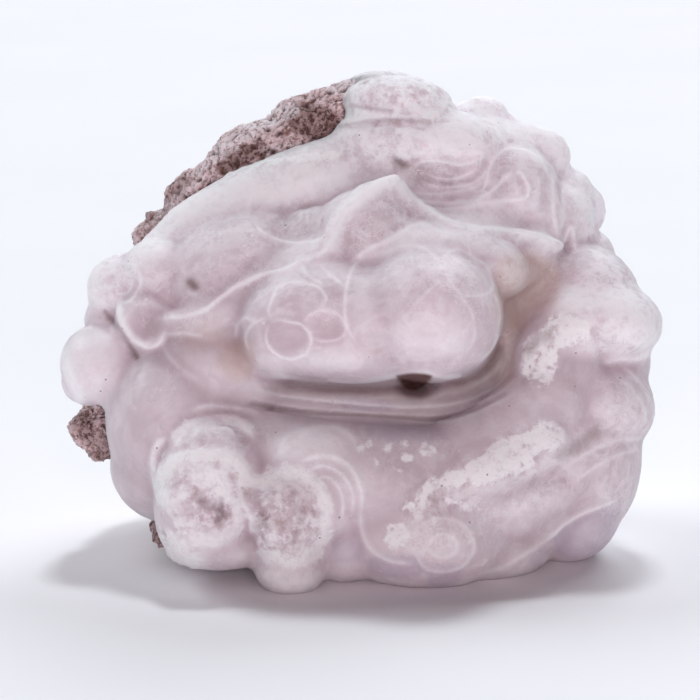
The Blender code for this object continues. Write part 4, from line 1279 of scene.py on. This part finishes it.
@dataclass
class HostRock:
    """The rind of vesicular rock that the chalcedony grew on."""

    drawing: Drawing
    yard: BallYard
    voxel: float = 0.25
    smoothing: int = 6
    skim: float = 0.2
    lump: float = 2.4
    lump_size: float = 5.0
    pit: float = 1.6
    pit_size: float = 3.4
    hole: float = 0.9
    hole_size: float = 1.2
    worn_size: float = 3.0
    crust: float = 0.28
    crust_size: float = 0.95
    outset: float = 0.25
    bed_shrink: float = 0.3
    bed_voxel: float = 0.6
    slot: str = "host_rock"

    MARKS = (
        Mark(CHALK, track(190, 175, 212, 150, 236, 128, 262, 110, 292, 100, 300, 112, 284, 122, 262, 134,
            240, 148, 215, 164, 200, 176), 0.9, 8, broken=0.3),
        Mark(CHALK, track(150, 226, 160, 206, 178, 190, 200, 172, 206, 178, 186, 196, 168, 212), 0.5, 6,
            broken=0.4),
        Mark(CHALK, track(318, 92, 345, 76, 372, 70, 366, 84, 346, 96), 0.8, 8, broken=0.4),
        Mark(CHALK, track(262, 146, 290, 140, 315, 150, 300, 158, 265, 158), 0.5, 8, broken=0.4),
        Mark(STAIN_AND_SHADE, track(284, 112, 300, 104, 325, 106, 340, 118, 336, 138, 318, 140, 296, 134), 0.85, 8,
            broken=0.35),
        Mark(STAIN_AND_SHADE, track(214, 166, 232, 152, 262, 142, 270, 152, 244, 166, 222, 174), 0.85, 6, broken=0.3),
        Mark(STAIN_AND_SHADE, track(146, 218, 166, 198, 184, 180), 0.6, wide=8, broken=0.4),
        Mark(STAIN_AND_SHADE, track(80, 420, 92, 440, 104, 462), 0.8, wide=14, broken=0.35),
        Mark(STAIN_AND_SHADE, track(152, 524, 158, 536, 164, 548), 0.8, wide=10, broken=0.3),
    )
    BODY = Lobe(-10, 31.5, 11.5, 9.0, 16.5, 8.5, -32)
    ROLLS = (
        (Bead(-0.5, 48.6, 1.5, 3.8), Bead(-6.0, 46.3, 0.5, 4.3), Bead(-11.5, 43.3, 1.0, 4.2),
         Bead(-17.0, 39.3, 2.5, 3.3), Bead(-20.2, 36.5, 5.0, 2.9)),
        (Bead(-1.0, 45.0, 7.0, 4.8), Bead(-9.0, 41.0, 9.5, 5.6), Bead(-15.0, 34.5, 10.0, 5.8),
         Bead(-19.5, 28.5, 8.0, 5.2)),
        (Bead(1.0, 38.0, 15.5, 5.5), Bead(-7.0, 33.0, 17.0, 6.2), Bead(-15.0, 26.0, 14.0, 6.4),
         Bead(-20.5, 19.0, 9.0, 5.2)),
        (Bead(-2.0, 26.0, 19.0, 5.6), Bead(-9.0, 20.0, 17.5, 6.0), Bead(-16.0, 14.0, 11.0, 5.4)),
        (Bead(-20.0, 18.0, 8.0, 5.6), Bead(-24.6, 17.8, 3.5, 3.6), Bead(-27.2, 17.4, 0.5, 2.5),
         Bead(-26.0, 15.4, 0.0, 1.9)),
        (Bead(-19.0, 17.0, 7.0, 5.2), Bead(-18.4, 10.5, 2.0, 3.6), Bead(-19.6, 7.2, -3.0, 1.9),
         Bead(-19.6, 6.2, -5.0, 1.5)),
    )

    def mass(self, name: str, swell: float, voxel: float) -> Skin:
        """The rock's body and rolls as one smooth skin, each fatter by swell millimetres.

        Args:
            name: the name of its object.
            swell: how much fatter it is.
            voxel: the cell size in millimetres.

        Returns:
            The skin.
        """
        bm = bmesh.new()
        self.yard.lobe(bm, self.BODY, swell)
        for beads in self.ROLLS:
            self.yard.roll(bm, beads, swell)
        skin = Skin.of_balls(name, bm, self.drawing)
        skin.fuse(voxel, self.smoothing)
        skin.keep_largest()
        return skin

    def weather(self, skin: Skin) -> None:
        """Wears the skin inwards in lumps, pits, bubbles and a ragged crust.

        Args:
            skin: the rock's smooth mass.
        """
        places, normals = skin.places, skin.normals
        sink = np.empty(len(places))
        for index, place in enumerate(places / MM):
            spot = Vector(place)
            lump = noise.noise(spot / self.lump_size)
            pit = noise.voronoi(spot / self.pit_size)[0][0]
            sink[index] = self.skim + self.lump * max(0.0, lump) + self.pit * max(0.0, 1.0 - 2.2 * pit)
            warp = spot + 0.9 * noise.noise_vector(spot / self.hole_size)
            hole = noise.voronoi(warp / self.hole_size)[0][0]
            worn = min(1.0, max(0.0, 0.5 + 2.5 * noise.noise(spot / self.worn_size)))
            crust = noise.ridged_multi_fractal(spot / self.crust_size, 0.8, 2.3, 4, 0.9, 2.0)
            sink[index] += self.hole * worn * max(0.0, 1.0 - 2.0 * hole) + self.crust * (1.9 - crust)
        skin.move_to(places - normals * (sink - self.outset)[:, None] * MM)

    def build(self, skin: Skin) -> bpy.types.Object:
        """The weathered piece, made from its smooth mass.

        Args:
            skin: the rock's smooth mass.

        Returns:
            The piece's object.
        """
        self.weather(skin)
        seen = skin.lit_by_eye()
        laid = skin.wash(self.MARKS, seen)
        fine = np.clip(skin.bulge(4) * 7.0, -1.0, 1.0)
        pit = np.clip(skin.bulge(16) * 2.6, -1.0, 1.0)
        crust = noise_over(skin.places / MM, 5.0, 3, 4.0)
        skin.hold("crest", np.maximum(fine, 0) * 0.6 + np.maximum(pit, 0) * 0.7)
        # Hollows are darkened: partly the rock's dark pits, partly painted shade.
        skin.hold("hollow_shade", np.maximum(-fine, 0) * 0.45 + np.maximum(-pit, 0) * 0.85)
        skin.hold("chalk", laid[CHALK] + 0.5 * ramp(crust, 0.1, 0.6) * (1.0 - seen))
        skin.hold("stain_and_shade", laid[STAIN_AND_SHADE])
        skin.rest()
        return skin.obj


class NodeSheet:
    """A material's nodes, made and linked by short calls."""

    def __init__(self, name: str) -> None:
        """Starts a material with only its Principled shader.

        Args:
            name: the material's name.
        """
        self.material = bpy.data.materials.new(name)
        self.material.use_nodes = True
        self.tree = self.material.node_tree
        self.shader = self.tree.nodes["Principled BSDF"]
        self.place = self.add("ShaderNodeTexCoord").outputs["Object"]

    def add(self, kind: str, **settings: object) -> bpy.types.Node:
        """A node of a kind, with its settings.

        Args:
            kind: the node's type.
            settings: its properties by name.

        Returns:
            The node.
        """
        node = self.tree.nodes.new(kind)
        for name, value in settings.items():
            setattr(node, name, value)
        return node

    def link(self, source: Feed | tuple, socket: Socket) -> None:
        """Feeds a socket from another, or sets it.

        Args:
            source: another node's socket, or a value.
            socket: what is fed.
        """
        if isinstance(source, Socket):
            self.tree.links.new(source, socket)
        else:
            socket.default_value = source

    def shade(self, **feeds: Feed | tuple) -> None:
        """Feeds or sets the shader's sockets, with low lines for the blanks in their names."""
        for name, source in feeds.items():
            self.link(source, self.shader.inputs[name.replace("_", " ")])

    def level(self, name: str) -> Socket:
        """The number that the skin keeps under a name."""
        return self.add("ShaderNodeAttribute", attribute_name=name).outputs["Fac"]

    def noise(self, size: float, detail: float = 4.0, rough: float = 0.6, warp: float = 0.0) -> Socket:
        """Noise with lumps of a size in millimetres, from 0 to 1.

        Args:
            size: the size of its lumps.
            detail: how many finer layers it has.
            rough: how strong the finer layers are.
            warp: how much it is bent.

        Returns:
            Its level.
        """
        node = self.add("ShaderNodeTexNoise")
        self.link(self.place, node.inputs["Vector"])
        settings = {"Scale": 1.0 / (size * MM), "Detail": detail, "Roughness": rough, "Distortion": warp}
        for name, value in settings.items():
            node.inputs[name].default_value = value
        return node.outputs["Fac"]

    def cells(self, size: float) -> Socket:
        """The distance to the nearest of scattered points, about size millimetres apart.

        Args:
            size: how far apart they are.

        Returns:
            The distance as a share of size.
        """
        node = self.add("ShaderNodeTexVoronoi", feature="F1")
        self.link(self.place, node.inputs["Vector"])
        node.inputs["Scale"].default_value = 1.0 / (size * MM)
        return node.outputs["Distance"]

    def math(self, kind: str, first: Feed, second: Feed = 0.0, clamp: bool = False) -> Socket:
        """One sum of two numbers.

        Args:
            kind: the sum's name.
            first: the first number.
            second: the second number.
            clamp: whether the result is held between 0 and 1.

        Returns:
            The result.
        """
        node = self.add("ShaderNodeMath", operation=kind, use_clamp=clamp)
        self.link(first, node.inputs[0])
        self.link(second, node.inputs[1])
        return node.outputs[0]

    def times(self, first: Feed, second: Feed) -> Socket:
        """Two numbers multiplied."""
        return self.math("MULTIPLY", first, second)

    def plus(self, first: Feed, second: Feed, clamp: bool = False) -> Socket:
        """Two numbers added, and held between 0 and 1 if clamped."""
        return self.math("ADD", first, second, clamp)

    def minus(self, first: Feed, second: Feed) -> Socket:
        """The second number taken from the first."""
        return self.math("SUBTRACT", first, second)

    def spread(self, value: Feed, low: float, high: float, to_low: float = 0.0,
               to_high: float = 1.0) -> Socket:
        """A number stretched from low and high to two others, held between them.

        Args:
            value: the number.
            low: where the stretch starts.
            high: where it ends.
            to_low: the result at low.
            to_high: the result at high.

        Returns:
            The result.
        """
        node = self.add("ShaderNodeMapRange", interpolation_type="SMOOTHSTEP")
        for socket, number in zip(list(node.inputs)[:5], (value, low, high, to_low, to_high)):
            self.link(number, socket)
        return node.outputs[0]

    def mix(self, share: Feed, first: Socket | Colour, second: Socket | Colour) -> Socket:
        """Two colours mixed.

        Args:
            share: how much of the second there is.
            first: the first colour.
            second: the second colour.

        Returns:
            The mixed colour.
        """
        node = self.add("ShaderNodeMix", data_type="RGBA")
        for socket, value in ((node.inputs[0], share), (node.inputs[6], first), (node.inputs[7], second)):
            self.link((*value, 1.0) if isinstance(value, tuple) else value, socket)
        return node.outputs[2]

    def bump(self, height: Feed, reach: float, under: Socket | None = None) -> Socket:
        """A normal bent by a height field of reach millimetres, over another bump.

        Args:
            height: the height, from 0 to 1.
            reach: how high 1 is, in millimetres.
            under: the bump that lies under it.

        Returns:
            The bent normal.
        """
        node = self.add("ShaderNodeBump")
        node.inputs["Strength"].default_value = 1.0
        node.inputs["Distance"].default_value = reach * MM
        self.link(height, node.inputs["Height"])
        if under is not None:
            self.link(under, node.inputs["Normal"])
        return node.outputs["Normal"]


@dataclass(frozen=True)
class StoneFinish:
    """Waxy, cloudy chalcedony with pale wisps, chalky crusts and clearer, darker windows; shade and some
    highlights are painted.
    """

    body: Colour = (0.675, 0.605, 0.645)
    body_deep: Colour = (0.61, 0.535, 0.575)
    crest: Colour = (0.89, 0.87, 0.90)
    chalk: Colour = (0.93, 0.92, 0.95)
    clear: Colour = (0.50, 0.41, 0.445)
    lilac: Colour = (0.43, 0.38, 0.49)
    # A brownish tint that also stands for painted shade in the recesses.
    tan: Colour = (0.56, 0.44, 0.41)
    # Dark brown of the real stains and specks, also painted as shade in the groove, its hole and creases.
    stain_and_shade: Colour = (0.13, 0.06, 0.055)
    # The colour of the painted shade in the hollows, also given to the chalk's pores.
    hollow_shade: Colour = (0.50, 0.40, 0.425)
    crumb: Colour = (0.47, 0.36, 0.37)

    def colour(self, sheet: NodeSheet) -> Socket:
        """The stone's colour, layer over layer.

        Args:
            sheet: the nodes that it is added to.

        Returns:
            The colour.
        """
        frost, crumb, chalk = map(sheet.level, ("frost", "crumb", "chalk"))
        mottle = sheet.noise(1.2, 6.0, 0.7)
        cloud = sheet.spread(sheet.noise(6.0, 5.0, 0.6, 0.4), 0.44, 0.56)
        body = sheet.mix(cloud, self.body_deep, self.body)
        film = sheet.spread(sheet.noise(2.6, 6.0, 0.62, 1.2), 0.52, 0.57)
        colour = sheet.mix(sheet.times(film, sheet.plus(sheet.times(frost, 0.5), 0.16)), body, self.crest)
        # Painted shade darkens the hollows first; the tan wash is partly painted shade in recesses.
        for name, share in (("hollow_shade", 0.4), ("clear", 0.85), ("lilac", 0.9), ("tan", 0.9)):
            colour = sheet.mix(sheet.times(sheet.level(name), share), colour, getattr(self, name))
        haze = sheet.times(frost, sheet.spread(mottle, 0.40, 0.56, 0.15, 0.75))
        veins = sheet.times(self.wisps(sheet), sheet.plus(sheet.times(frost, 0.8), 0.2))
        pocks = sheet.times(crumb, sheet.spread(mottle, 0.36, 0.5, 0.8, 0.0))
        rind = sheet.times(sheet.times(crumb, sheet.spread(mottle, 0.5, 0.6)), 0.85)
        crest = sheet.times(sheet.level("crest"), sheet.spread(mottle, 0.3, 0.55, 0.7, 1.0))
        ragged = sheet.times(sheet.minus(mottle, 0.5), 2.8)
        patches = sheet.spread(sheet.plus(chalk, ragged), 0.28, 0.95)
        pores = sheet.times(chalk, sheet.spread(sheet.noise(0.45, 4.0, 0.7), 0.34, 0.44, 0.25, 0.0))
        specks = sheet.spread(sheet.cells(2.8), 0.025, 0.05, 0.7, 0.0)
        layers = ((haze, self.crest), (veins, self.crest), (pocks, self.crumb), (rind, self.chalk),
                  (crest, self.crest), (patches, self.chalk), (pores, self.hollow_shade), (specks, self.stain_and_shade),
                  (sheet.level("stain_and_shade"), self.stain_and_shade))
        for share, paint in layers:
            colour = sheet.mix(share, colour, paint)
        return colour

    def wisps(self, sheet: NodeSheet) -> Socket:
        """Thin pale veins, where warped noise crosses its middle.

        Args:
            sheet: the nodes that they are added to.

        Returns:
            How strong they are, from 0 to 1.
        """
        veins = []
        for size, warp, width in ((2.6, 1.6, 0.022), (1.1, 1.0, 0.03)):
            off = sheet.math("ABSOLUTE", sheet.minus(sheet.noise(size, 3.0, 0.55, warp), 0.5))
            veins.append(sheet.spread(off, 0.0, width, 1.0, 0.0))
        both = sheet.math("MAXIMUM", veins[0], sheet.times(veins[1], 0.7))
        return sheet.times(both, sheet.spread(sheet.noise(4.0, 2.0, 0.5), 0.42, 0.6))

    def material(self) -> bpy.types.Material:
        """The stone's material."""
        sheet = NodeSheet("chalcedony_waxy")
        chalk = sheet.math("MAXIMUM", sheet.level("chalk"), sheet.level("crumb"))
        frost = sheet.level("frost")
        dull = sheet.plus(chalk, sheet.times(frost, 0.5), True)
        coat = sheet.plus(sheet.times(chalk, 0.8), sheet.times(frost, 0.35))
        height = sheet.times(sheet.noise(0.45, 4.0, 0.7), sheet.plus(coat, 0.12))
        normal = sheet.bump(height, 0.16)
        sheet.shade(Base_Color=self.colour(sheet), Roughness=sheet.spread(dull, 0.0, 1.0, 0.42, 0.8),
                    Normal=sheet.bump(sheet.noise(1.3, 4.0, 0.55), 0.10, normal), IOR=1.45,
                    Specular_IOR_Level=0.35, Subsurface_Weight=0.9, Subsurface_Radius=(1.0, 0.82, 0.88),
                    Subsurface_Scale=10.0 * MM)
        return sheet.material


@dataclass(frozen=True)
class RockFinish:
    """Dark brown vesicular rock with a thin pale crust on its high places and hollows darkened, partly by
    painted shade.
    """

    body: Colour = (0.25, 0.13, 0.11)
    warm: Colour = (0.40, 0.25, 0.23)
    crust: Colour = (0.86, 0.71, 0.73)
    chalk: Colour = (0.93, 0.86, 0.89)
    pit: Colour = (0.055, 0.022, 0.018)

    def material(self) -> bpy.types.Material:
        """The rock's material."""
        sheet = NodeSheet("host_rock_vesicular")
        grain, stain_and_shade = sheet.noise(0.4, 4.0, 0.7), sheet.level("stain_and_shade")
        colour = sheet.mix(sheet.spread(sheet.noise(2.2, 5.0, 0.65), 0.35, 0.65), self.body, self.warm)
        patch = sheet.times(sheet.spread(sheet.noise(1.1, 5.0, 0.7), 0.41, 0.52), 0.75)
        grit = sheet.spread(grain, 0.36, 0.5)
        crust = sheet.times(sheet.plus(sheet.level("crest"), patch, True), grit)
        crust = sheet.times(crust, sheet.minus(1.0, sheet.times(stain_and_shade, 0.8)))
        pale = sheet.times(sheet.level("chalk"), grit)
        dark = sheet.times(stain_and_shade, sheet.spread(grain, 0.4, 0.55, 1.0, 0.2))
        # Marked dark patches and the hollows go towards the near-black pit colour; in the hollows this is
        # partly the rock's dark pits and partly painted shade.
        for share, paint in ((crust, self.crust), (pale, self.chalk), (dark, self.pit),
                             (sheet.level("hollow_shade"), self.pit)):
            colour = sheet.mix(share, colour, paint)
        sheet.shade(Base_Color=colour, Roughness=0.9, Normal=sheet.bump(grain, 0.3))
        return sheet.material


@dataclass(frozen=True)
class PaperFinish:
    """The plain pale surface that the stone is photographed on."""

    colour: Colour = (0.93, 0.93, 0.95)

    def material(self) -> bpy.types.Material:
        """The floor's material."""
        sheet = NodeSheet("paper_pale")
        tone = sheet.spread(sheet.noise(40.0, 2.0, 0.4), 0.3, 0.7)
        colour = sheet.mix(tone, self.colour, tuple(0.985 * part for part in self.colour))
        sheet.shade(Base_Color=colour, Roughness=0.8)
        return sheet.material


@dataclass
class Studio:
    """The floor, the lights and the camera."""

    drawing: Drawing
    floor_half: float = 3.0
    warm: Colour = (1.0, 0.83, 0.86)
    cool: Colour = (0.955, 1.0, 1.05)
    sky: float = 0.04
    key: float = 1.22
    fill: float = 1.95

    def floor(self) -> bpy.types.Object:
        bm = bmesh.new()
        bmesh.ops.create_grid(bm, x_segments=1, y_segments=1, size=self.floor_half)
        mesh = bpy.data.meshes.new("studio_floor")
        bm.to_mesh(mesh)
        bm.free()
        obj = bpy.data.objects.new("studio_floor", mesh)
        bpy.context.scene.collection.objects.link(obj)
        mesh.materials.append(PaperFinish().material())
        return obj

    def lamp(self, name: str, bearing: float, height: float, power: float, spread: float,
             tint: Colour) -> None:
        """A far soft light.

        Args:
            name: its name.
            bearing: where it stands in degrees, 0 behind the stone and 90 to its right.
            height: its height over the floor in degrees.
            power: how bright it is.
            spread: its width as the stone sees it, in degrees.
            tint: its colour.
        """
        data = bpy.data.lights.new(name, "SUN")
        data.energy = power
        data.angle = math.radians(spread)
        data.color = tint
        turn, rise = math.radians(bearing), math.radians(height)
        way = Vector((math.sin(turn) * math.cos(rise), math.cos(turn) * math.cos(rise), math.sin(rise)))
        obj = bpy.data.objects.new(name, data)
        obj.location = way
        obj.rotation_mode = "QUATERNION"
        obj.rotation_quaternion = way.to_track_quat("Z", "Y")
        bpy.context.scene.collection.objects.link(obj)

    def light(self) -> None:
        """A dim sky, four lights behind the stone and a low broad one from the eye's side."""
        world = bpy.data.worlds.new("studio_sky")
        world.use_nodes = True
        ground = world.node_tree.nodes["Background"]
        ground.inputs["Color"].default_value = (*self.warm, 1.0)
        ground.inputs["Strength"].default_value = self.sky
        bpy.context.scene.world = world
        self.lamp("left", -58.0, 38.0, self.key, 36.0, self.cool)
        self.lamp("right", 30.0, 40.0, self.key, 34.0, self.cool)
        self.lamp("back", 0.0, 20.0, 0.5 * self.key, 30.0, self.cool)
        self.lamp("top", 8.0, 69.0, 0.85 * self.key, 9.0, self.cool)
        self.lamp("front", 178.0, 7.0, self.fill, 30.0, self.warm)
        bpy.context.scene.view_settings.view_transform = "Standard"

    def camera(self) -> None:
        """The eye of the drawing, as a camera."""
        view = self.drawing
        data = bpy.data.cameras.new("portrait")
        data.sensor_width = 36.0
        data.lens = 36.0 * view.distance / view.width
        data.clip_start = 0.02
        obj = bpy.data.objects.new("portrait", data)
        obj.location = view.eye() + Vector(view.stands) * MM
        obj.rotation_mode = "QUATERNION"
        obj.rotation_quaternion = Vector(view.away).to_track_quat("-Z", "Y")
        bpy.context.scene.collection.objects.link(obj)
        bpy.context.scene.camera = obj


def enter(obj: bpy.types.Object, material: bpy.types.Material, node: str) -> None:
    """Dresses a piece and lets it stand for a node of the frame.

    Args:
        obj: the piece.
        material: its finish.
        node: the node that it stands for, whose part from model.glb is hidden.
    """
    obj.data.materials.clear()
    obj.data.materials.append(material)
    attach(obj, "root")
    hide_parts(node)
    LOG.info("%s: %d faces", obj.name, len(obj.data.polygons))


def main() -> None:
    """Builds the studio, the rock and the stone, and reports each piece."""
    logging.basicConfig(level=logging.INFO, format="%(message)s")
    noise.seed_set(NOISE_SEED)
    drawing = Drawing()
    studio = Studio(drawing)
    studio.camera()
    studio.light()
    studio.floor()
    yard = BallYard(drawing)
    rind = HostRock(drawing, yard)
    rock = rind.mass("druse_host_rock", 0.0, rind.voxel)
    bed = rind.mass("bed", -rind.bed_shrink, rind.bed_voxel)
    stone = Chalcedony(drawing, yard)
    piece = stone.build(rock, bed)
    bpy.data.objects.remove(bed.obj)
    enter(piece, StoneFinish().material(), stone.slot)
    enter(rind.build(rock), RockFinish().material(), rind.slot)
    yard.clear()


if __name__ == "__main__":
    main()
